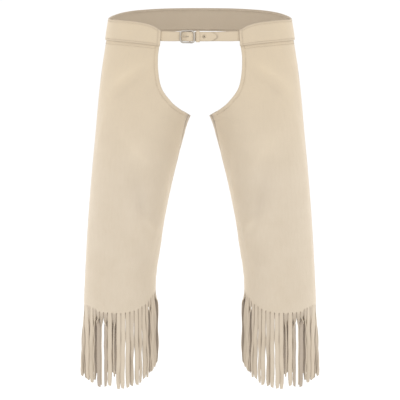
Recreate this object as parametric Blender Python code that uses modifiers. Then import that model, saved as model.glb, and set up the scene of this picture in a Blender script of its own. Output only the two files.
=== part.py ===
"""Fringed suede chaps, held open as they are when worn: a shaped waistband with a buckled front strap,
two slanting leg tubes of a front and a back panel each, and a cut fringe round both hems.

The front faces -Y and +Z is up. The origin is the middle of the waist opening, level with the middle of
the waistband at the hips. Named sizes and tables are in millimetres and in degrees; the meshes are in
metres. +X is the wearer's left side.
"""

import math

import bmesh
import bpy
import numpy as np
from mathutils import Vector

MM = 0.001

# Thickness of each piece and the gap that parts two pieces at a seam
SUEDE = 1.8
BAND_SUEDE = 2.4
SEAM_GAP = 0.3
BAND_LIFT = SUEDE + SEAM_GAP

# The form that the garment is worn on, in level sections: x of its outer side, x of the leg's centre,
# half its depth, and how far its centre lies behind the origin. The leg's centre moves to the middle
# at the waist, where both legs share one oval.
SECTION_COLUMNS = ("height", "outer", "centre", "half_depth", "setback")
SECTIONS = (
    (40, 175.5, 0, 112.0, 0),
    (20, 178.0, 0, 113.0, 0),
    (-20, 184.0, 0, 115.0, 0),
    (-45, 188.0, 14, 114.5, 0),
    (-70, 192.0, 34, 112.5, 0),
    (-100, 196.0, 62, 108.5, 1),
    (-130, 199.5, 87, 104.0, 2),
    (-172, 203.5, 112, 98.0, 3),
    (-220, 208.0, 122, 94.5, 4),
    (-270, 213.0, 131, 91.0, 5),
    (-320, 217.5, 139, 87.5, 7),
    (-380, 222.5, 147.5, 82.5, 9),
    (-440, 226.5, 154, 77.5, 12),
    (-500, 230.0, 160, 72.5, 14),
    (-560, 233.0, 162.5, 69.0, 16),
    (-600, 235.0, 164, 67.0, 17),
)

# Top edge of a leg front, a row for each column of its mesh: turns along the waistband, then x of the
# cut-out's edge at each height down to the crotch
FRONT_BAND_TURNS = (0, 11, 22, 33, 43, 52, 59)
CUT_OUT_COLUMNS = ("height", "edge")
CUT_OUT = (
    (-16.5, 79.3),
    (-28, 79.9),
    (-42, 81.8),
    (-58, 82.0),
    (-74, 81.1),
    (-90, 79.0),
    (-104, 75.2),
    (-116, 69.0),
    (-127, 60.7),
    (-137.2, 52.6),
    (-146, 43.4),
    (-153.5, 34.7),
    (-159, 27.9),
    (-163.5, 23.7),
)

# Top edge of a leg back, in the same way, with the seat opening's edge as an angle round the leg
BACK_BAND_TURNS = (0, 9, 18, 27, 36, 45)
SEAT_COLUMNS = ("height", "turn")
SEAT_OPENING = (
    (-13.5, 53),
    (-30, 56),
    (-50, 60.5),
    (-69, 65.5),
    (-87, 71.5),
    (-105, 79),
    (-122, 88),
    (-137.5, 98),
    (-150, 109),
    (-160.5, 121),
    (-167.5, 134),
    (-171, 148),
    (-172, 164),
    (-171, 182),
)

# The inseam leaves the crotch in front of the leg's inner side, and comes nearer to it lower down
INSEAM_HEM_TURN = 177.0
INSEAM_BEND = 4.0

# Lower and upper edge of the waistband, by the angle from the hip: above 0 towards the front
BAND_COLUMNS = ("turn", "lower", "upper")
BAND = (
    (-90, -11.5, 33.5),
    (-73, -12.0, 33.5),
    (-48, -14.5, 32.0),
    (-33, -17.0, 29.5),
    (-15, -19.3, 24.5),
    (0, -20.5, 21.5),
    (15, -19.3, 22.0),
    (31, -18.2, 23.5),
    (42, -18.5, 23.0),
    (50, -19.3, 21.5),
    (55, -20.0, 19.5),
    (59, -20.8, 16.5),
    (62, -21.5, 12.5),
    (65.3, -22.8, 7.0),
)
BAND_END_TURNS = (65.3, 62.5)
BAND_END_START = 53.0
BAND_END_LIFT = 0.4
BAND_OVERLAP = 6.0

# Hem of the leg, by the angle round the leg from its outer side, the same to the front and the back
HEM_COLUMNS = ("turn", "height")
HEM = ((0, -552), (45, -555), (90, -559), (112, -556), (130, -548), (145, -539), (157, -530), (180, -521))

# Soft folds pressed into the panels: place and size, and how high the fold stands
FOLD_COLUMNS = ("turn", "height", "length", "width", "lean", "rise")
FOLDS = (
    (47, -82, 80, 17, 35, 2.0),
    (100, -320, 130, 20, -25, -2.0),
    (122, -400, 90, 20, -40, 1.6),
    (84, -228, 80, 20, -50, 1.5),
    (-72, -225, 110, 22, 40, 2.6),
    (-96, -300, 120, 22, -30, -2.2),
    (-60, -410, 130, 20, 15, 1.8),
)

# The folds start at this height, just under the waistband, and reach their full rise this much lower
FOLD_START = -25.0
FOLD_RUN = 40.0

# Where the panels' rows lie, as shares of each column's length from the hem up
LEG_ROWS = (0, 0.035, 0.09, 0.16, 0.24, 0.32, 0.4, 0.48, 0.56, 0.64, 0.72, 0.79, 0.86, 0.92, 0.96, 0.98, 1)
BAND_ROWS = (0.0, 0.14, 0.5, 0.86, 1.0)
BAND_BACK_TURNS = (60.5, 68, 75, 82, 90)

# Fringe: a strip under the hem, and the strands cut from it
HEM_LEVEL = -555.0
STRIP_HEIGHT = 5.0
HEM_GAP = 0.5
STRAND_WIDTH = 7.8
STRAND_LENGTH = 150.0
STRAND_STEPS = (0.0, 0.12, 0.27, 0.43, 0.6, 0.77, 0.92, 1.0)
STRAND_TIP = 0.62
TURN_START = 0.03

# How each strand hangs, from the outer side round the front to the inner side and on round the back: how
# far it has turned, the share of its length by which it has done so, how far its end has drifted round the
# leg and out from it, and its length against the rest
STRAND_COLUMNS = ("turn", "twist_end", "along", "out", "length")
STRAND_TABLE = (
    (62, 0.50, 0.3, 6.0, 0.985),
    (36, 0.50, 0.3, 5.0, 1.00),
    (-16, 0.60, 0.2, 4.5, 0.98),
    (20, 0.60, 0.0, 4.0, 1.01),
    (-42, 0.40, -0.4, 3.0, 1.00),
    (12, 0.60, -0.8, 2.5, 1.01),
    (74, 0.35, -1.6, 1.5, 0.97),
    (-12, 0.30, -0.6, 1.0, 1.02),
    (-88, 0.25, 2.2, 0.5, 0.98),
    (-50, 0.30, 1.6, 0.5, 1.00),
    (16, 0.60, 0.6, 1.5, 0.98),
    (-84, 0.30, 0.4, 0.5, 0.86),
    (8, 0.80, -0.6, 2.0, 1.02),
    (-10, 0.80, 0.8, 2.5, 1.01),
    (24, 0.70, 0.6, 2.0, 1.01),
    (-62, 0.50, -0.6, 1.0, 1.00),
    (12, 0.70, 0.6, 2.0, 1.01),
    (-24, 0.70, 0.4, 2.5, 1.00),
    (64, 0.50, 0.6, 1.0, 0.99),
    (-14, 0.70, 0.4, 2.5, 1.00),
    (76, 0.35, -0.4, 1.0, 0.98),
    (-34, 0.50, 0.0, 3.0, 0.99),
    (-30, 0.30, 0.2, 3.5, 0.98),
    (-62, 0.40, 0.0, 4.0, 0.985),
    (42, 0.50, 0.0, 4.5, 0.97),
    (-40, 0.50, 0.0, 4.5, 0.97),
    (30, 0.50, 0.0, 4.0, 0.99),
    (-20, 0.60, 0.2, 3.5, 1.00),
    (55, 0.50, 0.0, 3.0, 0.98),
    (-35, 0.50, -0.3, 2.5, 1.01),
    (80, 0.35, 0.0, 2.0, 0.99),
    (-24, 0.50, 0.3, 2.0, 1.00),
    (86, 0.30, 0.0, 1.5, 0.98),
    (-18, 0.60, 0.2, 1.5, 1.01),
    (-86, 0.30, 0.0, 1.5, 1.00),
    (22, 0.60, -0.2, 1.5, 0.99),
    (-70, 0.50, -0.8, 1.5, 1.01),
    (30, 0.50, 0.8, 1.5, 1.00),
    (-12, 0.70, 0.4, 1.5, 1.01),
    (48, 0.50, 0.4, 1.5, 0.99),
    (-80, 0.35, -1.5, 1.5, 1.00),
    (88, 0.30, -1.8, 1.5, 0.98),
    (-84, 0.30, 1.5, 1.5, 1.00),
    (26, 0.60, 0.6, 2.0, 1.01),
    (-38, 0.50, 0.0, 2.5, 0.99),
    (18, 0.60, 0.2, 3.0, 1.00),
    (62, 0.50, 0.0, 3.5, 0.98),
    (-28, 0.50, 0.0, 4.0, 1.00),
    (44, 0.50, 0.0, 4.5, 0.99),
    (-55, 0.50, 0.0, 5.5, 0.985),
)

# Belt: both straps follow the waist oval at the front. A strap's route is a list of x and lift, the
# distance of its middle from the oval.
STRAP_WIDTH = 18.2
STRAP_END_WIDTH = 19.4
STRAP_TAPER = (30, 60)
STRAP_HEIGHT = -3.3
TAIL_SUEDE = 1.6
TAIL_ROUTE = (
    (-92, 0.95), (-84, 0.95), (-76, 0.95), (-64, 0.9), (-52, 0.85), (-44, 0.85), (-38, 0.85), (-33, 1.0),
    (-30, 1.7), (-27, 3.1), (-24.5, 4.9), (-22, 6.4), (-19.6, 7.1), (-17, 6.8), (-14, 5.8), (-11, 4.8),
    (-8, 4.55), (-4, 4.5), (2, 4.5), (8, 4.5), (14, 4.5), (19, 4.5), (23, 4.45), (27, 4.4), (30, 4.4),
    (32.5, 4.35),
)
TAIL_POINT_START = 19.0
TAIL_POINT_WIDTH = 0.2
TAIL_POINT_POWER = 1.5
BUCKLE_SUEDE = 1.3
BUCKLE_ROUTE_IN = ((92, 0.85), (84, 0.85), (76, 0.85), (64, 1.1), (50, 1.9), (36, 2.6), (22, 2.7), (10, 2.7),
                   (2, 2.7), (-6, 2.7), (-10.5, 2.8), (-13, 3.4), (-15.5, 4.3))
BUCKLE_ROUTE_BACK = ((-15.5, 0.8), (-10, 0.95), (-4, 0.95), (3, 0.95), (10, 0.95))

# Buckle: a bent rectangular frame of round wire with a straight bar across it
FRAME_LEFT = -37.6
FRAME_RIGHT = -10.8
FRAME_MIDDLE = -3.7
FRAME_HEIGHT = 22.2
FRAME_CORNER = 5.5
FRAME_WIRE = 1.25
FRAME_LOW = 3.4
FRAME_HIGH = 7.6
FRAME_RISE = (-21.1, -12.8)
FRAME_RAIL_PLACES = (-17.5, -20, -22.5)
BAR_X = -19.6
BAR_LIFT = 2.8
BAR_WIRE = 1.1
WRAP_GAP = 0.55
WRAP_ANGLES = range(75, 286, 30)
TONGUE_WIRE = 0.85
TONGUE_GRIP_ANGLES = range(190, 451, 20)
TONGUE_ROUTE = ((-23, 5.1), (-27, 5.5), (-31, 5.9), (-35, 6.05), (-37.8, 6.05), (-39.6, 5.7))
TONGUE_SLOT = (-26.2, -20.2, 2.7)
FOLD_SLOT = (-24.5, -15.0, 2.7)
SLOT_LIFT = 3.0
CUT_DEPTH = 16.0

# Keeper and eyelet
KEEPER_MIDDLE = -4.0
KEEPER_WIDTH = 7.0
KEEPER_SUEDE = 1.2
KEEPER_PLAY = 0.7
KEEPER_ROUNDING = 0.22
KEEPER_LIFTS = (-0.65, 6.2)
KEEPER_ANGLES = range(0, 360, 20)
EYELET_X = 7.8
EYELET_LIFT = 4.5
EYELET_BORE = 1.5
EYELET_BARREL = 2.0
EYELET_FLANGE = 3.6
EYELET_FLANGE_HEIGHT = 0.6
EYELET_HOLE = 2.35
EYELET_SIDES = 20

SUEDE_COLOUR = (0.73, 0.62, 0.48, 1.0)
METAL_COLOUR = (0.42, 0.39, 0.35, 1.0)


# Reading the tables

def smooth_column(table, columns, name, at):
    """A column of a table at the places 'at', on a cubic through its rows that never overshoots them."""
    rows = sorted(table)
    knots = np.array([row[0] for row in rows], float)
    values = np.array([row[columns.index(name)] for row in rows], float)
    runs = np.diff(values) / np.diff(knots)
    before, after = runs[:-1], runs[1:]
    rising = before * after > 0
    mean = 2 * before * after / np.where(rising, before + after, 1)
    slopes = np.concatenate([runs[:1], np.where(rising, mean, 0), runs[-1:]])
    at = np.clip(np.asarray(at, float), knots[0], knots[-1])
    left = np.clip(np.searchsorted(knots, at, side="right") - 1, 0, len(knots) - 2)
    span = knots[left + 1] - knots[left]
    t = (at - knots[left]) / span
    return (
        (2 * t**3 - 3 * t**2 + 1) * values[left]
        + (t**3 - 2 * t**2 + t) * span * slopes[left]
        + (3 * t**2 - 2 * t**3) * values[left + 1]
        + (t**3 - t**2) * span * slopes[left + 1]
    )


def section_column(name, height):
    return smooth_column(SECTIONS, SECTION_COLUMNS, name, height)


def ease(t):
    """0 below 0, 1 above 1, and a smooth step between."""
    t = np.clip(t, 0.0, 1.0)
    return t * t * (3 - 2 * t)


# The worn form

def fold_lift(turn, height):
    """How far the soft folds push the panel out at an angle round the leg and a height."""
    lift = np.zeros(np.broadcast(turn, height).shape)
    reach = section_column("half_depth", height)
    for fold_turn, fold_height, length, width, lean, rise in FOLDS:
        across = np.radians(turn - fold_turn) * reach
        along = height - fold_height
        slant = math.radians(lean)
        u = along * math.cos(slant) + across * math.sin(slant)
        v = across * math.cos(slant) - along * math.sin(slant)
        lift = lift + rise * np.exp(-((2 * u / length) ** 2) - (v / width) ** 2)
    return lift * ease((FOLD_START - height) / FOLD_RUN)


def form(turn, height, side=1, lift=0.0, folds=True):
    """Points of the worn form, in millimetres: an oval round the leg's centre at each height, moved out
    along the form's own normal by 'lift'. 'turn' is the angle from the outer side towards the front."""
    turn, height, lift = np.broadcast_arrays(*(np.asarray(value, float) for value in (turn, height, lift)))

    def on_oval(turn, height):
        centre = section_column("centre", height)
        reach = section_column("outer", height) - centre
        depth = section_column("half_depth", height)
        angle = np.radians(turn)
        return np.stack([
            centre + reach * np.cos(angle),
            section_column("setback", height) - depth * np.sin(angle),
            height,
        ], axis=-1)

    step = 0.5
    around = on_oval(turn + step, height) - on_oval(turn - step, height)
    upward = on_oval(turn, height + step) - on_oval(turn, height - step)
    normal = np.cross(upward, around)
    normal /= np.linalg.norm(normal, axis=-1, keepdims=True)
    out = lift + (fold_lift(turn, height) if folds else 0.0)
    return (on_oval(turn, height) + normal * out[..., None]) * np.array([side, 1, 1])


def hem_height(turn):
    around = np.abs((np.asarray(turn, float) + 180) % 360 - 180)
    return smooth_column(HEM, HEM_COLUMNS, "height", around)


def band_edge(turn, edge):
    return smooth_column(BAND, BAND_COLUMNS, edge, turn)


# Meshes

def make_object(name, mesh, material, collection):
    mesh.materials.append(material)
    made = bpy.data.objects.new(name, mesh)
    collection.objects.link(made)
    return made


def grid_mesh(name, points, closed=False):
    """An open sheet of quads from a grid of points in millimetres, rows by columns."""
    rows, columns = points.shape[:2]
    index = np.arange(rows * columns).reshape(rows, columns)
    right = np.roll(index, -1, axis=1) if closed else index[:, 1:]
    left = index if closed else index[:, :-1]
    faces = np.stack([left[:-1], right[:-1], right[1:], left[1:]], axis=-1).reshape(-1, 4)
    mesh = bpy.data.meshes.new(name)
    mesh.from_pydata((points.reshape(-1, 3) * MM).tolist(), [], faces.tolist())
    return mesh


def thicken(made, thickness, offset):
    """Gives an open sheet its wall. An offset of 1 puts the wall on the sheet's outer side."""
    wall = made.modifiers.new("wall", "SOLIDIFY")
    wall.thickness = thickness * MM
    wall.offset = offset
    made.data.shade_smooth()
    return made


def sheet(name, points, thickness, offset, material, collection, flip=False, closed=False):
    made = make_object(name, grid_mesh(name, points[:, ::-1] if flip else points, closed), material, collection)
    return thicken(made, thickness, offset)


def wire(name, points, radius, material, collection, closed=False, resolution=2):
    """A round wire: a curve through the points, in millimetres, with its ends capped."""
    curve = bpy.data.curves.new(name, "CURVE")
    curve.dimensions = "3D"
    spline = curve.splines.new("POLY")
    spline.points.add(len(points) - 1)
    for spot, point in zip(spline.points, points):
        spot.co = (*(Vector(point) * MM), 1.0)
    spline.use_cyclic_u = closed
    curve.bevel_depth = radius * MM
    curve.bevel_resolution = resolution
    curve.use_fill_caps = not closed
    return make_object(name, curve, material, collection)


def as_mesh(made):
    """Turns a curve object into a mesh object with its caps welded."""
    graph = bpy.context.evaluated_depsgraph_get()
    mesh = bpy.data.meshes.new_from_object(made.evaluated_get(graph))
    shape = bmesh.new()
    shape.from_mesh(mesh)
    bmesh.ops.remove_doubles(shape, verts=shape.verts, dist=0.00001)
    shape.to_mesh(mesh)
    shape.free()
    name, place, collection = made.name, made.matrix_world.copy(), made.users_collection[0]
    bpy.data.objects.remove(made)
    solid = bpy.data.objects.new(name, mesh)
    solid.matrix_world = place
    collection.objects.link(solid)
    return solid


def combine(made, other, operation):
    """Cuts 'other' out of the object, or joins it on. The other object is kept as a guide."""
    step = made.modifiers.new(operation.lower(), "BOOLEAN")
    step.operation = operation
    step.solver = "EXACT"
    step.object = other
    other.hide_render = True
    other.display_type = "WIRE"


def material(name, colour, roughness, metallic):
    made = bpy.data.materials.new(name)
    made.use_nodes = True
    shader = made.node_tree.nodes["Principled BSDF"]
    shader.inputs["Base Color"].default_value = colour
    shader.inputs["Roughness"].default_value = roughness
    shader.inputs["Metallic"].default_value = metallic
    return made


# Leg panels

def front_top():
    """Turn and height of each column's top on a leg front: along the waistband, then down the cut-out."""
    height, edge = np.array(CUT_OUT, float).T
    centre = section_column("centre", height)
    turn = np.degrees(np.arccos((edge - centre) / (section_column("outer", height) - centre)))
    band = np.array(FRONT_BAND_TURNS, float)
    return np.concatenate([band, turn]), np.concatenate([band_edge(band, "lower") + BAND_OVERLAP, height])


def back_top():
    """Turn and height of each column's top on a leg back: along the waistband, then down the seat opening
    to the crotch, where it ends with the leg front."""
    height, turn = np.array(SEAT_OPENING, float).T
    band = np.array(BACK_BAND_TURNS, float)
    front_turn, front_height = front_top()
    return (
        np.concatenate([band, turn, [360 - front_turn[-1]]]),
        np.concatenate([band_edge(-band, "lower") + BAND_OVERLAP, height, [front_height[-1]]]),
    )


def panel(top_turn, top_height, hem_turn, side, facing):
    """Rows of points of a leg panel. Each column runs up from the hem, evenly spaced there, to its place
    on the top edge, and bends to it near the top. 'facing' is 1 for a front and -1 for a back."""
    share = np.array(LEG_ROWS, float)[:, None]
    start = np.linspace(0, hem_turn, len(top_turn))
    turn = start + (top_turn - start) * share**INSEAM_BEND
    low = hem_height(start)
    height = low + (top_height - low) * share
    gap = np.degrees(SEAM_GAP / 2 / section_column("half_depth", height))
    turn[:, 0] += gap[:, 0]
    turn[:, -1] -= gap[:, -1]
    return form(turn * facing, height, side)


def build_legs(suede, collection):
    for name, side in (("left", 1), ("right", -1)):
        front = panel(*front_top(), INSEAM_HEM_TURN, side, 1)
        back = panel(*back_top(), 360 - INSEAM_HEM_TURN, side, -1)
        sheet(f"leg_front_{name}", front, SUEDE, 1, suede, collection, flip=side > 0)
        sheet(f"leg_back_{name}", back, SUEDE, 1, suede, collection, flip=side < 0)


# Waistband

def band_points(side):
    """Half the band, from its front end to the middle of the back. Its end stands off a little more, to
    clear the corner of the leg front."""
    front = [*BAND_END_TURNS, *FRONT_BAND_TURNS[::-1]]
    back = [*BACK_BAND_TURNS[1:], SEAT_OPENING[0][1], *BAND_BACK_TURNS]
    turn = np.array([*front, *(-place for place in back)], float)
    lower, upper = band_edge(turn, "lower"), band_edge(turn, "upper")
    lift = BAND_LIFT + BAND_END_LIFT * ease((turn - BAND_END_START) / (BAND_END_TURNS[0] - BAND_END_START))
    rows = [form(turn, lower + share * (upper - lower), side, lift, folds=False) for share in BAND_ROWS]
    return np.array(rows)


def build_waistband(suede, collection):
    left, right = band_points(1), band_points(-1)
    whole = np.concatenate([right, left[:, -2::-1]], axis=1)
    sheet("waistband", whole, BAND_SUEDE, 1, suede, collection, flip=True)


# Fringe

def strand_rows(left, right, outward, habit):
    """Edge points of a hanging strand below its root: a ribbon that turns about its own middle and
    drifts as it falls."""
    middle = (left + right) / 2
    across = (right - left) / np.linalg.norm(right - left)
    rows = []
    for step in STRAND_STEPS[1:]:
        twist = ease((step - TURN_START) / (habit["twist_end"] - TURN_START))
        turned = math.radians(habit["turn"]) * float(twist)
        half = STRAND_WIDTH / 2 * (STRAND_TIP if step == 1.0 else 1.0)
        drift = float(ease(step)) * (habit["along"] * across + habit["out"] * outward)
        centre = middle + drift + np.array([0, 0, -step * STRAND_LENGTH * habit["length"]])
        width = math.cos(turned) * across + math.sin(turned) * outward
        rows.append((centre - half * width, centre + half * width))
    return rows


def hem_edge(turn, side):
    """Points of the panels' lower edge at an angle, on the straight runs between their columns."""
    front = np.linspace(0, INSEAM_HEM_TURN, len(front_top()[0]))
    back = np.linspace(INSEAM_HEM_TURN, 360, len(back_top()[0]))
    columns = np.concatenate([front, back[1:]])
    points = form(columns, hem_height(columns), side)
    return np.stack([np.interp(turn, columns, points[:, axis]) for axis in range(3)], axis=-1)


def fringe_mesh(name, side):
    """The strip under the hem and its strands, as one open sheet: a ring of cells, a wide one over each
    strand and a narrow one over each slit."""
    strands = len(STRAND_TABLE)
    root_reach = section_column("half_depth", HEM_LEVEL)
    half_turn = math.degrees(STRAND_WIDTH / 2 / root_reach)
    middles = (np.arange(strands) + 0.5) * 360 / strands
    turns = np.stack([middles - half_turn, middles + half_turn], axis=1).ravel()
    top = hem_edge(turns, side) - np.array([0, 0, HEM_GAP])
    bottom = top - np.array([0, 0, STRIP_HEIGHT])
    points = [*top, *bottom]
    count = len(turns)
    faces = [(i, (i + 1) % count, count + (i + 1) % count, count + i) for i in range(count)]
    for strand, row in enumerate(STRAND_TABLE):
        habit = dict(zip(STRAND_COLUMNS, row))
        left, right = count + 2 * strand, count + 2 * strand + 1
        outward = form(middles[strand], HEM_LEVEL, side, 1.0) - form(middles[strand], HEM_LEVEL, side)
        outward[2] = 0
        outward /= np.linalg.norm(outward)
        for low, high in strand_rows(points[left], points[right], outward, habit):
            points += [low, high]
            faces.append((left, right, len(points) - 1, len(points) - 2))
            left, right = len(points) - 2, len(points) - 1
    mesh = bpy.data.meshes.new(name)
    mesh.from_pydata((np.array(points) * MM).tolist(), [], faces if side > 0 else [f[::-1] for f in faces])
    return mesh


def build_fringes(suede, collection):
    for name, side in (("left", 1), ("right", -1)):
        fringe = make_object(f"fringe_{name}", fringe_mesh(f"fringe_{name}", side), suede, collection)
        thicken(fringe, SUEDE, 1)


# Belt

def on_belt(x, lift, height=STRAP_HEIGHT):
    """A point of the belt line in millimetres: on the waist oval's front at x, 'lift' in front of it."""
    reach = section_column("outer", height)
    turn = np.degrees(np.arccos(np.clip(np.asarray(x, float) / reach, -1, 1)))
    return form(turn, height, 1, lift, folds=False)


def strap_half_width(x):
    """Half the width of both straps: narrower in the buckle than where they start under the band."""
    start, end = STRAP_TAPER
    return (STRAP_WIDTH + (STRAP_END_WIDTH - STRAP_WIDTH) * ease((np.abs(x) - start) / (end - start))) / 2


def ribbon(route, share=1.0):
    """Rows of points along a strap's lower and upper edge. 'share' narrows it to a part of its width."""
    x, lift = np.array(route, float).T
    half = strap_half_width(x) * share
    return np.array([on_belt(x, lift, STRAP_HEIGHT - half), on_belt(x, lift, STRAP_HEIGHT + half)])


def slot_cutter(name, start, end, width, cutters):
    """A box that cuts a slot along the strap, right through every layer."""
    middle = on_belt((start + end) / 2, SLOT_LIFT)
    bpy.ops.mesh.primitive_cube_add(size=1, location=Vector(middle) * MM)
    made = bpy.context.object
    made.name = name
    made.scale = Vector((end - start, CUT_DEPTH, width)) * MM
    bpy.ops.object.transform_apply(location=False, rotation=False, scale=True)
    for owner in made.users_collection:
        owner.objects.unlink(made)
    cutters.objects.link(made)
    return made


def build_tail_strap(suede, collection, cutters):
    x = np.array([row[0] for row in TAIL_ROUTE], float)
    point = np.clip((x - TAIL_POINT_START) / (x[-1] - TAIL_POINT_START), 0, 1) ** TAIL_POINT_POWER
    share = 1 - (1 - TAIL_POINT_WIDTH) * point
    strap = sheet("tail_strap", ribbon(TAIL_ROUTE, share), TAIL_SUEDE, 0, suede, collection)
    combine(strap, slot_cutter("tongue_slot", *TONGUE_SLOT, cutters), "DIFFERENCE")
    bpy.ops.mesh.primitive_cylinder_add(
        vertices=EYELET_SIDES, radius=EYELET_HOLE * MM, depth=CUT_DEPTH * MM / 2,
        location=Vector(on_belt(EYELET_X, EYELET_LIFT)) * MM, rotation=(math.pi / 2, 0, 0))
    hole = bpy.context.object
    hole.name = "eyelet_hole"
    for owner in hole.users_collection:
        owner.objects.unlink(hole)
    cutters.objects.link(hole)
    combine(strap, hole, "DIFFERENCE")


def build_buckle_strap(suede, collection, cutters):
    wrap = BAR_WIRE + WRAP_GAP + BUCKLE_SUEDE / 2
    arc = [(BAR_X + wrap * math.cos(math.radians(a)), BAR_LIFT + wrap * math.sin(math.radians(a)))
           for a in WRAP_ANGLES]
    route = [*BUCKLE_ROUTE_IN, *arc, *BUCKLE_ROUTE_BACK]
    strap = sheet("buckle_strap", ribbon(route), BUCKLE_SUEDE, 0, suede, collection)
    combine(strap, slot_cutter("fold_slot", *FOLD_SLOT, cutters), "DIFFERENCE")


def frame_lift(x):
    """The buckle frame lies low over its left part, and rises to its right bar over both straps."""
    start, end = FRAME_RISE
    return FRAME_LOW + (FRAME_HIGH - FRAME_LOW) * ease((x - start) / (end - start))


def build_buckle(metal, collection, cutters):
    """The frame is a rounded rectangle of wire seen from the front, the bar a straight wire across it."""
    corner_angles = range(0, 91, 30)
    route = []
    for start, cx, cz in (
        (0, FRAME_RIGHT - FRAME_CORNER, FRAME_HEIGHT / 2 - FRAME_CORNER),
        (90, FRAME_LEFT + FRAME_CORNER, FRAME_HEIGHT / 2 - FRAME_CORNER),
        (180, FRAME_LEFT + FRAME_CORNER, -FRAME_HEIGHT / 2 + FRAME_CORNER),
        (270, FRAME_RIGHT - FRAME_CORNER, -FRAME_HEIGHT / 2 + FRAME_CORNER),
    ):
        for angle in corner_angles:
            turn = math.radians(start + angle)
            route.append((cx + FRAME_CORNER * math.cos(turn), cz + FRAME_CORNER * math.sin(turn)))
        if start == 0:
            route += [(x, FRAME_HEIGHT / 2) for x in FRAME_RAIL_PLACES]
        if start == 180:
            route += [(x, -FRAME_HEIGHT / 2) for x in FRAME_RAIL_PLACES[::-1]]
    points = [on_belt(x, frame_lift(x), FRAME_MIDDLE + z) for x, z in route]
    frame = as_mesh(wire("buckle_frame", points, FRAME_WIRE, metal, collection, closed=True, resolution=3))
    reach = FRAME_HEIGHT / 2
    ends = [on_belt(BAR_X, BAR_LIFT, FRAME_MIDDLE + z) for z in (-reach, 0, reach)]
    bar = as_mesh(wire("buckle_bar", ends, BAR_WIRE, metal, cutters, resolution=3))
    combine(frame, bar, "UNION")
    grip = BAR_WIRE + SEAM_GAP + TONGUE_WIRE
    ring = [(BAR_X + grip * math.cos(math.radians(a)), BAR_LIFT + grip * math.sin(math.radians(a)))
            for a in TONGUE_GRIP_ANGLES]
    wire("buckle_tongue", [on_belt(x, lift) for x, lift in (*ring, *TONGUE_ROUTE)], TONGUE_WIRE, metal, collection)


def build_keeper(suede, collection):
    """A loop of suede round both straps, a rounded rectangle in a plane across them."""
    low, high = KEEPER_LIFTS
    half_height = STRAP_WIDTH / 2 + KEEPER_PLAY + KEEPER_SUEDE / 2
    middle = (low + high) / 2
    turn = np.radians(KEEPER_ANGLES)
    power = KEEPER_ROUNDING
    z = STRAP_HEIGHT + half_height * np.sign(np.sin(turn)) * np.abs(np.sin(turn)) ** power
    lift = middle + (high - low) / 2 * np.sign(np.cos(turn)) * np.abs(np.cos(turn)) ** power
    sides = [on_belt(KEEPER_MIDDLE + x, lift, z) for x in (-KEEPER_WIDTH / 2, KEEPER_WIDTH / 2)]
    sheet("strap_keeper", np.array(sides), KEEPER_SUEDE, 0, suede, collection, closed=True)


def build_eyelet(metal, collection):
    """A turned ring: a barrel through the tail strap and a flange on its front."""
    face = TAIL_SUEDE / 2 + SEAM_GAP
    top = face + EYELET_FLANGE_HEIGHT
    profile = ((EYELET_BARREL, -face), (EYELET_BORE, -face), (EYELET_BORE, top),
               (EYELET_FLANGE - EYELET_FLANGE_HEIGHT, top), (EYELET_FLANGE, face), (EYELET_BARREL, face))
    shape = bmesh.new()
    ring = [shape.verts.new((r * MM, 0, n * MM)) for r, n in profile]
    edges = [shape.edges.new((a, b)) for a, b in zip(ring, ring[1:] + ring[:1])]
    bmesh.ops.spin(shape, geom=ring + edges, angle=2 * math.pi, steps=EYELET_SIDES, axis=(0, 0, 1), cent=(0, 0, 0))
    bmesh.ops.remove_doubles(shape, verts=shape.verts, dist=0.00001)
    bmesh.ops.recalc_face_normals(shape, faces=shape.faces)
    mesh = bpy.data.meshes.new("eyelet")
    shape.to_mesh(mesh)
    shape.free()
    eyelet = make_object("eyelet", mesh, metal, collection)
    eyelet.location = Vector(on_belt(EYELET_X, EYELET_LIFT)) * MM
    eyelet.rotation_euler = (math.pi / 2, 0, 0)


def main():
    for old in list(bpy.data.objects):
        bpy.data.objects.remove(old)
    chaps = bpy.data.collections.new("fringed_chaps")
    cutters = bpy.data.collections.new("cutters")
    for made in (chaps, cutters):
        bpy.context.scene.collection.children.link(made)
    suede = material("cream_suede", SUEDE_COLOUR, 0.9, 0.0)
    metal = material("aged_nickel", METAL_COLOUR, 0.35, 1.0)
    build_legs(suede, chaps)
    build_waistband(suede, chaps)
    build_fringes(suede, chaps)
    build_tail_strap(suede, chaps, cutters)
    build_buckle_strap(suede, chaps, cutters)
    build_buckle(metal, chaps, cutters)
    build_keeper(suede, chaps)
    build_eyelet(metal, chaps)


main()
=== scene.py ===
"""Fringed suede chaps, dressed: napped suede panels, a stitched waistband, a cut fringe and a buckled strap.

The pieces stand on the fixed frame of solids and take their places from the same form: an oval at each
height, carried along a path from the waist down each leg. Named sizes and tables are in millimetres and in
degrees, the stage's in metres, and the meshes are in metres. The front faces -Y, +Z is up and +X is the
wearer's left side.
"""

import math
from types import SimpleNamespace

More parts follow.
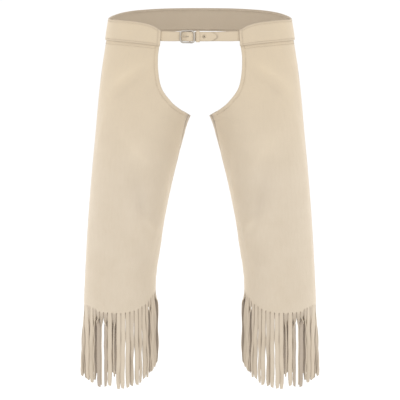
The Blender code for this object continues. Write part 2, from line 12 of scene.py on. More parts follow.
import bpy
import numpy as np
from bpy.props import FloatProperty, FloatVectorProperty, IntProperty, PointerProperty
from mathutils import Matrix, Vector


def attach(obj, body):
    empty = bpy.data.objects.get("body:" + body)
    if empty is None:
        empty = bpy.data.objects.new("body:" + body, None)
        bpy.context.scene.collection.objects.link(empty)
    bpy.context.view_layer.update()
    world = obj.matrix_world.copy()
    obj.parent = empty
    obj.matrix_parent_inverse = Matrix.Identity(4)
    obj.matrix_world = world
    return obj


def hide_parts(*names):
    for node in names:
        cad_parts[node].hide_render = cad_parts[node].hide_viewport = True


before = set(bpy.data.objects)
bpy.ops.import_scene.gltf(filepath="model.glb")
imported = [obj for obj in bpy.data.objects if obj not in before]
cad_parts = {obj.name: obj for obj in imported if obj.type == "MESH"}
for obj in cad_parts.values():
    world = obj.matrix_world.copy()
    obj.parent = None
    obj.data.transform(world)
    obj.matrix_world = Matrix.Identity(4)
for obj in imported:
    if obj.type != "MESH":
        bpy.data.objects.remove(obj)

bl_info = {
    "name": "Fringed suede chaps",
    "version": (1, 0, 0),
    "blender": (4, 5, 0),
    "location": "View3D > Sidebar > Chaps",
    "description": "Builds fringed suede chaps with a buckled strap, and a plain stage for them",
    "category": "Add Mesh",
}

MM = 0.001
BODY = "root"
SIDES = (("left", 1), ("right", -1))

# The worn form in level sections: x of the outer side, x of the leg's centre, half the depth, and how far
# the centre lies behind the origin
SECTION_COLUMNS = ("height", "outer", "centre", "half_depth", "setback")
SECTIONS = (
    (40, 175.5, 0, 112.0, 0),
    (20, 178.0, 0, 113.0, 0),
    (-20, 184.0, 0, 115.0, 0),
    (-45, 188.0, 14, 114.5, 0),
    (-70, 192.0, 34, 112.5, 0),
    (-100, 196.0, 62, 108.5, 1),
    (-130, 199.5, 87, 104.0, 2),
    (-172, 203.5, 112, 98.0, 3),
    (-220, 208.0, 122, 94.5, 4),
    (-270, 213.0, 131, 91.0, 5),
    (-320, 217.5, 139, 87.5, 7),
    (-380, 222.5, 147.5, 82.5, 9),
    (-440, 226.5, 154, 77.5, 12),
    (-500, 230.0, 160, 72.5, 14),
    (-560, 233.0, 162.5, 69.0, 16),
    (-600, 235.0, 164, 67.0, 17),
)

# Top edge of a leg front: turns along the waistband, then the height and the x of the cut-out's edge
FRONT_BAND_TURNS = (0, 11, 22, 33, 43, 52, 59)
CUT_OUT = (
    (-16.5, 79.3), (-28, 79.9), (-42, 81.8), (-58, 82.0), (-74, 81.1), (-90, 79.0), (-104, 75.2),
    (-116, 69.0), (-127, 60.7), (-137.2, 52.6), (-146, 43.4), (-153.5, 34.7), (-159, 27.9), (-163.5, 23.7),
)

# Top edge of a leg back: turns along the waistband, then the height and the turn of the seat opening's edge
BACK_BAND_TURNS = (0, 9, 18, 27, 36, 45)
SEAT_OPENING = (
    (-13.5, 53), (-30, 56), (-50, 60.5), (-69, 65.5), (-87, 71.5), (-105, 79), (-122, 88), (-137.5, 98),
    (-150, 109), (-160.5, 121), (-167.5, 134), (-171, 148), (-172, 164), (-171, 182),
)
INSEAM_HEM_TURN = 177.0
INSEAM_BEND = 4.0

# Lower and upper edge of the waistband, by the angle from the hip: above 0 towards the front
BAND_COLUMNS = ("turn", "lower", "upper")
BAND = (
    (-90, -13.0, 33.5),
    (-73, -13.3, 33.5),
    (-48, -14.6, 32.0),
    (-33, -17.0, 29.5),
    (-15, -19.3, 24.5),
    (0, -20.5, 21.5),
    (15, -19.3, 22.0),
    (31, -18.2, 23.5),
    (42, -18.5, 23.0),
    (50, -19.3, 21.5),
    (55, -20.0, 19.5),
    (59, -20.8, 16.5),
    (62, -21.5, 12.5),
    (65.3, -22.8, 7.0),
)
BAND_END_TURN = 65.3
BAND_OVERLAP = 6.0

# Hem of the leg, by the angle round the leg from its outer side
HEM_COLUMNS = ("turn", "height")
HEM = (
    (0, -550), (30, -549), (45, -551.5), (60, -556.5), (90, -558.5), (112, -554.5), (130, -546.5),
    (145, -538.5), (157, -530.5), (180, -521),
)
HEM_LEVEL = -555.0
HEM_JOIN = 0.25

# Folds pressed into the panels: the large ones of the solids first, then the small ones that only show here.
# Each has the turn and the height of its middle, its length, its width, its lean and how far it stands out
FOLDS = (
    (47, -82, 80, 17, 35, 2.0),
    (100, -320, 130, 20, -25, -2.0),
    (122, -400, 90, 20, -40, 1.6),
    (84, -228, 80, 20, -50, 1.5),
    (-72, -225, 110, 22, 40, 2.6),
    (-96, -300, 120, 22, -30, -2.2),
    (-60, -410, 130, 20, 15, 1.8),
    (50, -80, 58, 6, 37, 1.5),
    (57, -105, 60, 9, 33, -1.4),
    (92, -236, 60, 7, -48, 0.8),
    (112, -352, 90, 8, -22, -1.2),
    (132, -386, 60, 8, -56, 2.4),
    (142, -440, 90, 8, 6, 1.2),
    (150, -300, 90, 9, -12, 1.7),
    (30, -190, 90, 10, 12, 0.8),
    (22, -440, 120, 11, -6, 1),
    (-40, -150, 70, 9, 30, 1.4),
    (-112, -250, 80, 8, -35, 1.5),
    (-130, -380, 90, 9, -10, -1.4),
    (-30, -330, 110, 10, 8, 1.2),
)
# Going down, the folds start at the first height and stand out in full after the second
FOLD_TOP = (-25.0, 40.0)

# How each strand hangs, from the outer side round the front to the inner side and on round the back: how
# far it has turned, the shares of its length by which it has done so and by which it has drifted, how far
# it has drifted round the leg and out from it, its length and its width against the rest, and how dark its
# nap is drawn, from 0 to 1, as painted shade for a strand turned away or hanging in shade
STRAND_TABLE = (
    (-26, 0.5, 1, 0, 6, 0.985, 0.9, 0.8),
    (61, 0.45, 0.54, 0.5, 0, 1, 0.75, 1),
    (-32, 0.5, 0.6, 0.6, -1.5, 0.98, 1, 0.1),
    (-20, 0.6, 0.72, 0.2, 0.5, 1.01, 1, 0.1),
    (40, 0.3, 0.5, -0.2, 1, 1, 0.8, 0.8),
    (-30, 0.6, 0.72, -0.2, 1.5, 1.01, 1, 0.05),
    (77, 0.35, 0.42, 1, 1, 0.97, 0.9, 0.8),
    (154, 0.22, 0.26, 1.6, 0.5, 1.02, 1.05, 0.9),
    (58, 0.25, 0.3, -2.4, -3.5, 0.98, 0.85, 0.8),
    (-150, 0.25, 0.3, -1.4, 0.5, 1, 1, 1),
    (10, 0.6, 0.72, 0.2, 1.5, 0.98, 1.05, 0.1),
    (97, 0.3, 0.36, 0.2, 0, 0.86, 0.8, 1),
    (-3, 0.8, 0.96, -1.2, 1, 1.02, 1, 0),
    (4, 0.8, 0.96, -2.2, 3.2, 1.01, 1, 0),
    (8, 0.7, 0.84, -0.6, 2, 1.01, 1, 0.15),
    (50, 0.7, 0.84, -0.8, 1, 1, 1, 0.3),
    (12, 0.7, 0.84, 1, 2, 1.01, 1.05, 0.1),
    (-24, 0.7, 0.84, -0.8, 2.5, 1, 1, 0.2),
    (40, 0.5, 0.6, 2, 1.5, 0.99, 1, 0.1),
    (-14, 0.7, 0.84, 0.8, 2, 1, 1, 0.3),
    (-72, 0.25, 0.3, -0.4, 1, 0.98, 0.9, 0.5),
    (15, 0.4, 0.2, -1.5, 2, 0.99, 1, 0.2),
    (50, 0.3, 0.3, 0.2, 2.5, 0.98, 0.9, 0.1),
    (-74, 0.2, 0.14, 0, 4, 0.96, 1, 1),
    (62, 0.3, 0.3, 0, 2, 0.94, 0.8, 0.3),
    (123, 0.4, 0.7, 0, 3.5, 0.97, 1, 0.3),
    (30, 0.5, 0.3, 0, 3.5, 0.99, 1, 0.5),
    (-20, 0.5, 0.6, 0.2, 3.5, 1, 1, 0.2),
    (55, 0.5, 0.6, 0, 3, 0.98, 0.9, 0.3),
    (-35, 0.5, 0.6, -0.3, 2.5, 1.01, 1, 0.4),
    (80, 0.35, 0.42, 0, 2, 0.99, 0.95, 0.2),
    (-24, 0.5, 0.6, -1.5, 2, 1, 1, 0.1),
    (54, 0.3, 0.36, 2.6, 1.5, 0.98, 0.9, 0.3),
    (-18, 0.6, 0.72, 0.2, 1.5, 1.01, 1, 0.1),
    (68, 0.3, 0.36, 2.8, 1.5, 1, 0.9, 0.3),
    (22, 0.6, 0.72, -0.2, 1.5, 0.99, 1, 0.2),
    (83, 0.35, 0.42, -3, 1.5, 1.01, 0.9, 0.3),
    (30, 0.5, 0.6, 0.8, 1.5, 1, 1, 0.2),
    (-12, 0.7, 0.84, 0.4, 1.5, 1.01, 1.05, 0.1),
    (48, 0.5, 0.6, 0.4, 1.5, 0.99, 0.95, 0.3),
    (-30, 0.35, 0.42, -1.5, 1.5, 1, 1, 0.2),
    (-61, 0.28, 0.34, -3.6, 1.5, 0.98, 0.9, 0.3),
    (-40, 0.3, 0.36, 1.5, 1.5, 1, 1, 0.2),
    (26, 0.6, 0.72, 0.6, 2, 1.01, 1, 0.1),
    (142, 0.3, 0.36, 0, 2.5, 0.99, 0.95, 0.8),
    (18, 0.6, 0.72, 0.2, 3, 1, 1, 0.2),
    (62, 0.5, 1, 0, 3.5, 0.98, 0.9, 0.4),
    (-28, 0.5, 1, 0, 4, 1, 1, 0.2),
    (-71, 0.5, 1, 0, 5, 0.99, 1, 0.3),
    (-64, 0.5, 1, 0, 5.5, 0.985, 0.95, 0.4),
)
FRINGE_SEED = 7

# Routes of the straps as x and the lift of their middle from the waist oval
STRAP_WIDTH = 18.2
STRAP_END_WIDTH = 19.4
STRAP_TAPER = (30, 60)
STRAP_HEIGHT = -3.3
STRAP_SHADE = 2.2
TAIL_SUEDE = 1.6
TAIL_ROUTE = (
    (-92, 0.95), (-84, 0.95), (-76, 0.95), (-64, 0.9), (-52, 0.85), (-44, 0.85), (-38, 0.85), (-33, 1.0),
    (-30, 1.7), (-27, 3.1), (-24.5, 4.9), (-22, 6.4), (-19.6, 7.1), (-17, 6.8), (-14, 5.8), (-11, 4.8),
    (-8, 4.55), (-4, 4.5), (2, 4.5), (8, 4.5), (14, 4.5), (19, 4.5), (23, 4.45), (27, 4.4), (30, 4.4),
    (32.5, 4.35),
)
TAIL_POINT_START = 19.0
TAIL_POINT_WIDTH = 0.2
TAIL_POINT_POWER = 1.5
BUCKLE_SUEDE = 1.3
BUCKLE_ROUTE_IN = ((92, 0.85), (84, 0.85), (76, 0.85), (64, 1.1), (50, 1.9), (36, 2.6), (22, 2.7), (10, 2.7),
                   (2, 2.7), (-6, 2.7), (-10.5, 2.8), (-13, 3.4), (-15.5, 4.3))
BUCKLE_ROUTE_BACK = ((-15.5, 0.8), (-10, 0.95), (-4, 0.95), (3, 0.95), (10, 0.95))

# Buckle, keeper and eyelet. The frame starts to rise at the first x of FRAME_RISE and is up at the second.
# WRAP_TURN and TONGUE_GRIP go round the bar from degree to degree by a step, and TONGUE_SLOT has the x of
# both its ends and its width
FRAME_LEFT = -37.6
FRAME_RIGHT = -10.8
FRAME_MIDDLE = -3.7
FRAME_HEIGHT = 22.2
FRAME_CORNER = 5.5
FRAME_WIRE = 1.25
FRAME_BAR = 1.6
FRAME_LOW = 3.4
FRAME_HIGH = 7.6
FRAME_RISE = (-21.1, -12.8)
FRAME_PLACES = (14, 8, 14, 8)
BAR_X = -19.6
BAR_LIFT = 2.8
BAR_WIRE = 1.1
BAR_PLACES = 12
WRAP_GAP = 0.55
WRAP_TURN = (75, 285, 15)
WRAP_SLOT_END = -15.0
TONGUE_WIRE = 0.85
TONGUE_PLAY = 0.3
TONGUE_GRIP = (190, 450, 20)
TONGUE_PLACES = 60
TONGUE_SIDES = 12
TONGUE_ROUTE = ((-23, 5.1), (-27, 5.5), (-31, 5.9), (-35, 6.05), (-37.8, 6.05), (-39.6, 5.7))
TONGUE_SLOT = (-26.2, -21.4, 1.9)
KEEPER_MIDDLE = -4.0
KEEPER_WIDTH = 7.0
KEEPER_PLACES = (-1, -0.9, -0.6, 0, 0.6, 0.9, 1)
KEEPER_SUEDE = 1.2
KEEPER_PLAY = 0.7
KEEPER_ROUNDING = 0.22
KEEPER_BEVEL = 0.3
KEEPER_LIFTS = (-0.65, 6.2)
EYELET_X = 7.8
EYELET_HOLE = 2.3
EYELET_BORE = 1.5
EYELET_FLANGE = 3.6
EYELET_LIFT = 4.5
EYELET_SIDES = 36

# Profile of the eyelet, as radius and height over the middle of the strap: from its lower rim up the bore,
# over the rolled flange and back under it
EYELET_FACE = TAIL_SUEDE / 2 + 0.3
EYELET_PROFILE = (
    (2.0, -EYELET_FACE), (EYELET_BORE, -EYELET_FACE), (EYELET_BORE, EYELET_FACE + 0.3),
    (EYELET_BORE + 0.15, EYELET_FACE + 0.55), (2.3, EYELET_FACE + 0.7), (2.9, EYELET_FACE + 0.65),
    (3.4, EYELET_FACE + 0.4), (EYELET_FLANGE, EYELET_FACE + 0.1), (EYELET_FLANGE - 0.1, EYELET_FACE - 0.1),
    (2.0, EYELET_FACE - 0.1),
)

# Where stitching runs, as distances from the edges that it follows, and how far it sinks into the suede, or
# stands out where that is below 0
BAND_STITCH_TOP = 4.0
BAND_STITCH_BOTTOM = 3.8
BAND_STITCH_END = 4.5
BAND_SINK = 0.3
YOKE_STITCH = 6.5
CUT_OUT_STITCH = 4.5
CUT_OUT_SINK = -0.12
SEAM_STITCH = 3.2
SEAM_SINK = 0.35

# The photograph's point of view, and the stage round the piece. A light has its place, the side of its
# square and its power
CAMERA_PLACE = (0.0, -5.5, 0.48)
CAMERA_TARGET = (0.0, 0.0, -0.342)
CAMERA_LENS = 249.75
SENSOR = 36.0
CAMERA_REACH = 100
FLOOR_HEIGHT = -0.95
FLOOR_REACH = 30.0
SKY_STRENGTH = 1.07
LIGHT_TARGET = (0, 0, -0.3)
LIGHTS = {
    "left_front_light": ((-1.9, -2.2, 1.1), 1.6, 19.0),
    "right_front_light": ((1.9, -2.2, 1.1), 1.6, 19.0),
    "left_rim_light": ((-2.6, 0.9, 0.4), 1.8, 16.0),
    "right_rim_light": ((2.6, 0.9, 0.4), 1.8, 16.0),
}


def linear(hex_colour):
    """An sRGB hex colour as linear red, green and blue: up to 0.04045 a share is divided by 12.92, and
    above it 0.055 is added, the sum divided by 1.055 and raised to the power 2.4."""
    values = np.array([int(hex_colour[i:i + 2], 16) for i in (0, 2, 4)]) / 255
    return tuple(np.where(values <= 0.04045, values / 12.92, ((values + 0.055) / 1.055) ** 2.4))


# Sizes and colours that a user may change

def length_property(name, description, default, least, most):
    """A length that a user may change, from its default and its limits in millimetres."""
    return FloatProperty(name=name, description=description, unit="LENGTH", precision=4,
                         default=default * MM, min=least * MM, max=most * MM)


def colour_property(name, description, hex_colour):
    """A colour that a user may change, from its default as sRGB hex."""
    return FloatVectorProperty(name=name, description=description, subtype="COLOR",
                               default=linear(hex_colour), min=0, max=1)


class ChapsSizes(bpy.types.PropertyGroup):
    """Sizes of the suede, the fringe and the sewing."""

    suede: length_property("Suede", "Thickness of the leg panels", 1.8, 1, 3)
    band: length_property("Band", "Thickness of the waistband", 2.4, 1, 3)
    strand_width: length_property("Strand width", "Width of a strand", 8.5, 3, 8.7)
    strand_length: length_property("Strand length", "Length of a strand below its strip", 152, 40, 155)
    strip: length_property("Strip", "Height of the uncut strip", 3.4, 2, 10)
    strands: IntProperty(name="Strands", description="Strands on one leg", default=50, min=12, max=50)
    stitch: length_property("Stitch", "Length of one stitch that shows", 2.9, 1, 6)
    pitch: length_property("Stitch pitch", "Distance from stitch to stitch", 3.8, 2, 8)
    thread: length_property("Thread", "Width of the thread", 0.8, 0.3, 1.5)


class ChapsColours(bpy.types.PropertyGroup):
    """Colours of the suede, the thread, the metal and the stage."""

    nap: colour_property("Nap", "Brushed outer side of the suede", "C5B9A8")
    nap_dark: colour_property("Nap, laid the other way", "Nap where it lies darker", "B8AA96")
    # The inner side's darker colour is partly painted shade for the hollow inside of the form
    flesh_and_shade: colour_property("Inner side", "Coarser inner side of the suede", "B6AA9E")
    tan: colour_property("Nap at the top", "Warmer nap of the band and the upper legs", "C2B299")
    # The darkest mix of the nap: soiled nap, and painted shade and painted shadow
    soil_and_shade: colour_property("Handled nap", "Nap where it is soiled or turned", "8C7F73")
    cut: colour_property("Cut edge", "Raw edge of the suede", "C0B3A1")
    thread: colour_property("Thread", "Waxed sewing thread", "BFAF98")
    metal: colour_property("Metal", "Aged nickel of the buckle", "67584A")
    rubbed: colour_property("Rubbed metal", "Nickel of the tongue and the eyelet, rubbed bright", "BBAE9A")
    tarnish: colour_property("Tarnish", "Dark film in the buckle's hollows", "463B2F")
    floor: colour_property("Floor", "Pale floor", "FAFAFA")


def sizes_in_mm(context):
    """The user's sizes as plain numbers: the lengths in millimetres, and the count of strands."""
    sizes = context.scene.chaps_sizes
    lengths = [name for name in ChapsSizes.__annotations__ if name != "strands"]
    values = {name: round(getattr(sizes, name) / MM, 4) for name in lengths}
    return SimpleNamespace(strands=sizes.strands, **values)


# The worn form, as functions of the angle round the leg and the height

def smooth_column(table, columns, name, at):
    """A column of a table at the places 'at': a cubic through its rows whose slope at a row is the harmonic
    mean of the slopes beside it, or level where they differ in sign, so that it never overshoots."""
    rows = np.array(table, float)
    rows = rows[np.argsort(rows[:, 0])]
    knots, values = rows[:, 0], rows[:, columns.index(name)]
    runs = np.diff(values) / np.diff(knots)
    before, after = runs[:-1], runs[1:]
    rising = before * after > 0
    mean = 2 * before * after / np.where(rising, before + after, 1)
    slopes = np.concatenate([runs[:1], np.where(rising, mean, 0), runs[-1:]])
    at = np.clip(np.asarray(at, float), knots[0], knots[-1])
    left = np.clip(np.searchsorted(knots, at, side="right") - 1, 0, len(knots) - 2)
    span = knots[left + 1] - knots[left]
    t = (at - knots[left]) / span
    return (
        (2 * t**3 - 3 * t**2 + 1) * values[left]
        + (t**3 - 2 * t**2 + t) * span * slopes[left]
        + (3 * t**2 - 2 * t**3) * values[left + 1]
        + (t**3 - t**2) * span * slopes[left + 1]
    )


def along(values, count):
    """'count' values on a smooth curve through a list of values, evenly spaced by their place in it."""
    table = np.stack([np.arange(len(values)), np.asarray(values, float)], axis=1)
    return smooth_column(table, ("place", "value"), "value", np.linspace(0, len(values) - 1, count))


def section_column(name, height):
    """A column of the worn form's level sections at a height: the smooth cubic through its rows."""
    return smooth_column(SECTIONS, SECTION_COLUMNS, name, height)


def ease(t):
    """0 below 0, 1 above 1, and the smooth step t * t * (3 - 2 * t) between."""
    t = np.clip(t, 0.0, 1.0)
    return t * t * (3 - 2 * t)


def bell(distance, width):
    """1 at a distance of 0, falling off on both sides: e to the power of -(distance / width) squared."""
    return np.exp(-((distance / width) ** 2))


def running(steps):
    """The sum of the steps up to each place, from 0 before the first."""
    return np.concatenate([[0], np.cumsum(steps)])


def unit(vectors):
    """Vectors divided by their lengths."""
    return vectors / np.linalg.norm(vectors, axis=-1, keepdims=True)


def fold_lift(turn, height):
    """How far the folds push the panel out: a sum of long soft ridges, each a bell across and a wider bell
    along a line that leans by its angle, fading out under the waistband."""
    lift = np.zeros(np.broadcast(turn, height).shape)
    reach = section_column("half_depth", height)
    for fold_turn, fold_height, length, width, lean, rise in FOLDS:
        across = np.radians(turn - fold_turn) * reach
        up = height - fold_height
        slant = math.radians(lean)
        u = up * math.cos(slant) + across * math.sin(slant)
        v = across * math.cos(slant) - up * math.sin(slant)
        lift = lift + rise * np.exp(-((2 * u / length) ** 2) - (v / width) ** 2)
    start, run = FOLD_TOP
    return lift * ease((start - height) / run)


NORMAL_STEP = 0.5


def form(turn, height, side=1, lift=0.0, folds=True):
    """Points of the worn form in millimetres. At a height, x is the centre plus the reach times the cosine
    of the turn, and y is the setback less the half depth times its sine. The point is then moved out along
    the form's own normal, found from neighbours half a degree and half a millimetre away, by 'lift' and
    the folds. 'side' is 1 for the wearer's left leg and -1 for the right."""
    turn, height, lift = np.broadcast_arrays(*(np.asarray(value, float) for value in (turn, height, lift)))

    def on_oval(turn, height):
        centre = section_column("centre", height)
        reach = section_column("outer", height) - centre
        angle = np.radians(turn)
        return np.stack([
            centre + reach * np.cos(angle),
            section_column("setback", height) - section_column("half_depth", height) * np.sin(angle),
            height,
        ], axis=-1)

    around = on_oval(turn + NORMAL_STEP, height) - on_oval(turn - NORMAL_STEP, height)
    upward = on_oval(turn, height + NORMAL_STEP) - on_oval(turn, height - NORMAL_STEP)
    normal = unit(np.cross(upward, around))
    out = lift + (fold_lift(turn, height) if folds else 0.0)
    return (on_oval(turn, height) + normal * out[..., None]) * np.array([side, 1, 1])


def hem_height(turn):
    """Height of the hem at a turn: the smooth cubic through its table, by the angle from the outer side
    either way round."""
    around = np.abs((np.asarray(turn, float) + 180) % 360 - 180)
    return smooth_column(HEM, HEM_COLUMNS, "height", around)


def band_edge(turn, edge):
    """Height of the waistband's 'lower' or 'upper' edge at a turn: the smooth cubic through its table."""
    return smooth_column(BAND, BAND_COLUMNS, edge, turn)


CRUMPLE_WAVES = 8
CRUMPLE_LENGTHS = (0.7, 1.5)


def crumple(u, v, pitch, seed):
    """Soft unevenness over millimetre coordinates, mostly between -1 and 1: eight sine waves of 0.7 to 1.5
    times the pitch's length in scattered directions, added up and divided by four."""
    chance = np.random.default_rng(seed)
    total = np.zeros(np.broadcast(u, v).shape)
    for _ in range(CRUMPLE_WAVES):
        angle, phase = chance.uniform(0, 2 * np.pi, 2)
        wave = 2 * np.pi / (pitch * chance.uniform(*CRUMPLE_LENGTHS))
        total = total + np.sin(wave * (u * np.cos(angle) + v * np.sin(angle)) + phase)
    return total * 2 / CRUMPLE_WAVES


# Meshes

def mark_border(mesh, worn):
    """Marks the open border of a sheet: an edge is worn round where both its ends are in the mask 'worn',
    and sharp elsewhere."""
    ends = np.empty(2 * len(mesh.edges), int)
    mesh.edges.foreach_get("vertices", ends)
    used = np.empty(len(mesh.loops), int)
    mesh.loops.foreach_get("edge_index", used)
    border = np.bincount(used, minlength=len(mesh.edges)) == 1
    rounded = border & worn[ends.reshape(-1, 2)].all(axis=1)
    mesh.attributes.new("sharp_edge", "BOOLEAN", "EDGE").data.foreach_set("value", border & ~rounded)
    mesh.attributes.new("bevel_weight_edge", "FLOAT", "EDGE").data.foreach_set("value", rounded.astype(float))


def put_piece(name, points, faces, materials, uv=None, edge=None, worn=None):
    """Makes a mesh object at the origin from points in millimetres, with its UV map in metres of the cut
    piece and, as its edge attribute, how dark the nap is drawn: darker near cut edges and seams, with painted
    shade and painted shadow above 0 in places and painted light below 0, and lets it ride on the frame."""
    mesh = bpy.data.meshes.new(name)
    points = np.asarray(points, float).reshape(-1, 3) * MM
    faces = np.asarray(faces, int)
    mesh.vertices.add(len(points))
    mesh.vertices.foreach_set("co", points.ravel())
    mesh.loops.add(faces.size)
    mesh.loops.foreach_set("vertex_index", faces.ravel())
    mesh.polygons.add(len(faces))
    mesh.polygons.foreach_set("loop_start", np.arange(len(faces)) * faces.shape[1])
    mesh.update(calc_edges=True)
    if uv is not None:
        layer = mesh.uv_layers.new(name="cut")
        layer.data.foreach_set("uv", (np.asarray(uv).reshape(-1, 2) * MM)[faces.ravel()].ravel())
    soil_shade_and_light = np.zeros(len(points)) if edge is None else np.asarray(edge, float).ravel()
    mesh.attributes.new("edge", "FLOAT", "POINT").data.foreach_set("value", soil_shade_and_light)
    for material in materials:
        mesh.materials.append(material)
    mesh.shade_smooth()
    mark_border(mesh, np.full(len(points), True) if worn is None else np.asarray(worn).ravel())
    made = bpy.data.objects.new(name, mesh)
    bpy.context.scene.collection.objects.link(made)
    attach(made, BODY)
    return made


def quads(index, closed=False, flip=False):
    """The quads of a grid of vertex numbers. 'closed' joins its last column to its first, and 'flip' turns
    the quads over."""
    right = np.roll(index, -1, axis=1) if closed else index[:, 1:]
    left = index if closed else index[:, :-1]
    faces = np.stack([left[:-1], right[:-1], right[1:], left[1:]], axis=-1).reshape(-1, 4)
    return faces[:, ::-1] if flip else faces


def grid_faces(rows, columns, closed=False, flip=False):
    """Quads of a grid of points in rows by columns."""
    return quads(np.arange(rows * columns).reshape(rows, columns), closed, flip)


WORN_SEGMENTS = 2


def put_wall(made, thickness, offset, bevel=0.4):
    """Gives an open sheet its wall: the outer side is material 0, the inner side 1 and the cut edge 2, and
    the marked corners of the cut edge are worn round."""
    wall = made.modifiers.new("wall", "SOLIDIFY")
    wall.thickness = thickness * MM
    wall.offset = offset
    wall.material_offset = 1
    wall.material_offset_rim = 2
    corner = made.modifiers.new("worn corners", "BEVEL")
    corner.width = bevel * MM
    corner.segments = WORN_SEGMENTS
    corner.limit_method = "WEIGHT"
    return made


def sheet_lengths(points):
    """Distances in millimetres along the columns and up the rows of a grid of points, as its cut size."""
    across = np.linalg.norm(np.diff(points, axis=1), axis=-1)
    upward = np.linalg.norm(np.diff(points, axis=0), axis=-1)
    u = np.concatenate([np.zeros((len(points), 1)), np.cumsum(across, axis=1)], axis=1)
    v = np.concatenate([np.zeros((1, points.shape[1])), np.cumsum(upward, axis=0)], axis=0)
    return u, v


def grid_area(points):
    """Area of a grid of points, in square metres: half the length of the cross product of each quad's
    diagonals, added up."""
    first = points[1:, 1:] - points[:-1, :-1]
    second = points[1:, :-1] - points[:-1, 1:]
    return float(np.linalg.norm(np.cross(first, second), axis=-1).sum() / 2) * MM * MM


def declare(points):
    """Works out the flat cut of a sheet from its own points, its mean width, its mean length and its area,
    and keeps none of it.
    """
    u, v = sheet_lengths(points)
    area = grid_area(points)
    width, length = float(u[:, -1].mean()) * MM, float(v[-1].mean()) * MM
    length = max(length, area / width)


# Stitches: a short arched thread, repeated along a line. The rise, bow and dip are shares of its width

STITCH_STATIONS = 7
STITCH_SIDES = 6
STITCH_RISE = 0.16
STITCH_BOW = 0.3
STITCH_DIP = 0.35
STITCH_BLUNTNESS = 0.04


def stitch_template(length, width):
    """One stitch along x: rings of six points whose radius is half the thread's width times the fourth
    root of 1 - t*t, on a line that bows up by 1 - t*t and dips into the suede at both ends by the fourth
    power of t, with t from -1 to 1 along the stitch."""
    t = np.linspace(-1, 1, STITCH_STATIONS)
    radius = width / 2 * np.clip(1 - t**2, STITCH_BLUNTNESS, 1) ** 0.25
    angle = np.arange(STITCH_SIDES) * 2 * np.pi / STITCH_SIDES
    rise = STITCH_RISE * width + STITCH_BOW * width * (1 - t**2) - STITCH_DIP * width * t**4
    points = np.stack([
        np.repeat(t * length / 2, STITCH_SIDES),
        (radius[:, None] * np.cos(angle)).ravel(),
        (rise[:, None] + radius[:, None] * np.sin(angle)).ravel(),
    ], axis=-1)
    sides = grid_faces(STITCH_STATIONS, STITCH_SIDES, closed=True, flip=True)
    cap = np.array([[0, 1, 2, 3], [0, 3, 4, 5]])
    last = (STITCH_STATIONS - 1) * STITCH_SIDES
    return points, np.concatenate([sides, cap, cap[:, ::-1] + last])


def spaced(line, pitch, *others):
    """Points at even distances along a line of points, with other values of the line beside them."""
    run = running(np.linalg.norm(np.diff(line, axis=0), axis=1))
    count = max(int(run[-1] // pitch), 1)
    at = (np.arange(count) + 0.5) * run[-1] / count
    return [np.stack([np.interp(at, run, column) for column in value.T], axis=-1)
            for value in (line, *others)]


def stitch_rows(rows, sizes):
    """Points and faces of the stitches on several lines, each a pair of points and outward directions. A
    stitch's x runs along its line, its z outwards at right angles to that, and its y across both."""
    template, faces = stitch_template(sizes.stitch, sizes.thread)
    all_points = []
    for line, outward in rows:
        centres, normal = spaced(line, sizes.pitch, outward)
        ahead = unit(np.gradient(centres, axis=0))
        normal = unit(normal - (normal * ahead).sum(1, keepdims=True) * ahead)
        across = np.cross(normal, ahead)
        placed = (
            centres[:, None]
            + template[None, :, :1] * ahead[:, None]
            + template[None, :, 1:2] * across[:, None]
            + template[None, :, 2:] * normal[:, None]
        )
        all_points.append(placed.reshape(-1, 3))
    points = np.concatenate(all_points)
    starts = np.arange(0, len(points), len(template))
    return points, (faces[None] + starts[:, None, None]).reshape(-1, 4)


def surface_line(turn, height, side, lift, inward=False):
    """A line on the form, moved out by the lift, with its outward directions: each from its point to the
    point one millimetre further out."""
    points = form(turn, height, side, lift)
    outward = form(turn, height, side, np.asarray(lift) + 1.0) - points
    return points, -outward if inward else outward


# Leg panels

PANEL_COLUMNS = 100
PANEL_ROWS = 150
ROW_BEND = 1.12

# Grooves of a panel: the depth and width of a sewn seam's, and the width of the one under its stitches. The
# inseam's starts this far below the crotch and has its depth after the next length
SEAM_GROOVE = (0.7, 1.6)
STITCH_GROOVE = 0.9
INSEAM_START = (4, 10)

# Unevenness of a panel, broad and fine: its height, the length of its waves and their seed. It starts this
# far below the waistband and is full after the next length; all pressing fades out over HEM_RUN at the hem
BROAD_UNEVEN = (0.22, 34, 11)
FINE_UNEVEN = (0.1, 13, 5)
UNEVEN_START = (8, 20)
HEM_RUN = 25

# How dark the nap is drawn, and over what distance: darker along the top edge and at the inseam, and with
# painted shade at the crotch's tip and at the inner thigh, down a back panel
TOP_SHADE = 0.3
TOP_REACH = 2.2
INSEAM_REACH = 2.5
TIP_SHADE = 2.2
TIP_REACH = 9.0
THIGH_SHADE = 2.0
THIGH_DROP = 60.0
THIGH_REACH = 30.0

# Painted light on the folds, for a millimetre of fold: a painted highlight on a ridge and painted shade in a
# hollow; and painted light along the inner side of a leg, by height
FOLD_PAINTED_LIGHT = 0.16
INNER_PAINTED_LIGHT_COLUMNS = ("height", "rubbed")
INNER_PAINTED_LIGHT = (
    (-560, 0.5), (-500, 0.9), (-420, 1.0), (-345, 1.5), (-290, 1.4), (-258, 0.95), (-210, 0.9), (-165, 0.5),
)
INNER_PAINTED_LIGHT_REACH = 38.0

# The stitches along the cut-out leave out its first place and its last six; the yoke's leave out these
# turns at the hip seam and at their end
CUT_OUT_SEWN = slice(1, -6)
YOKE_START = 1.5
YOKE_END = 2.5
YOKE_PLACES = 120


def front_top(count):
    """Turn and height along a leg front's top edge, at 'count' even places by its rows in the tables."""
    height, edge = np.array(CUT_OUT, float).T
    centre = section_column("centre", height)
    turn = np.degrees(np.arccos((edge - centre) / (section_column("outer", height) - centre)))
    band = np.array(FRONT_BAND_TURNS, float)
    turns = np.concatenate([band, turn])
    heights = np.concatenate([band_edge(band, "lower") + BAND_OVERLAP, height])
    return along(turns, count), along(heights, count)


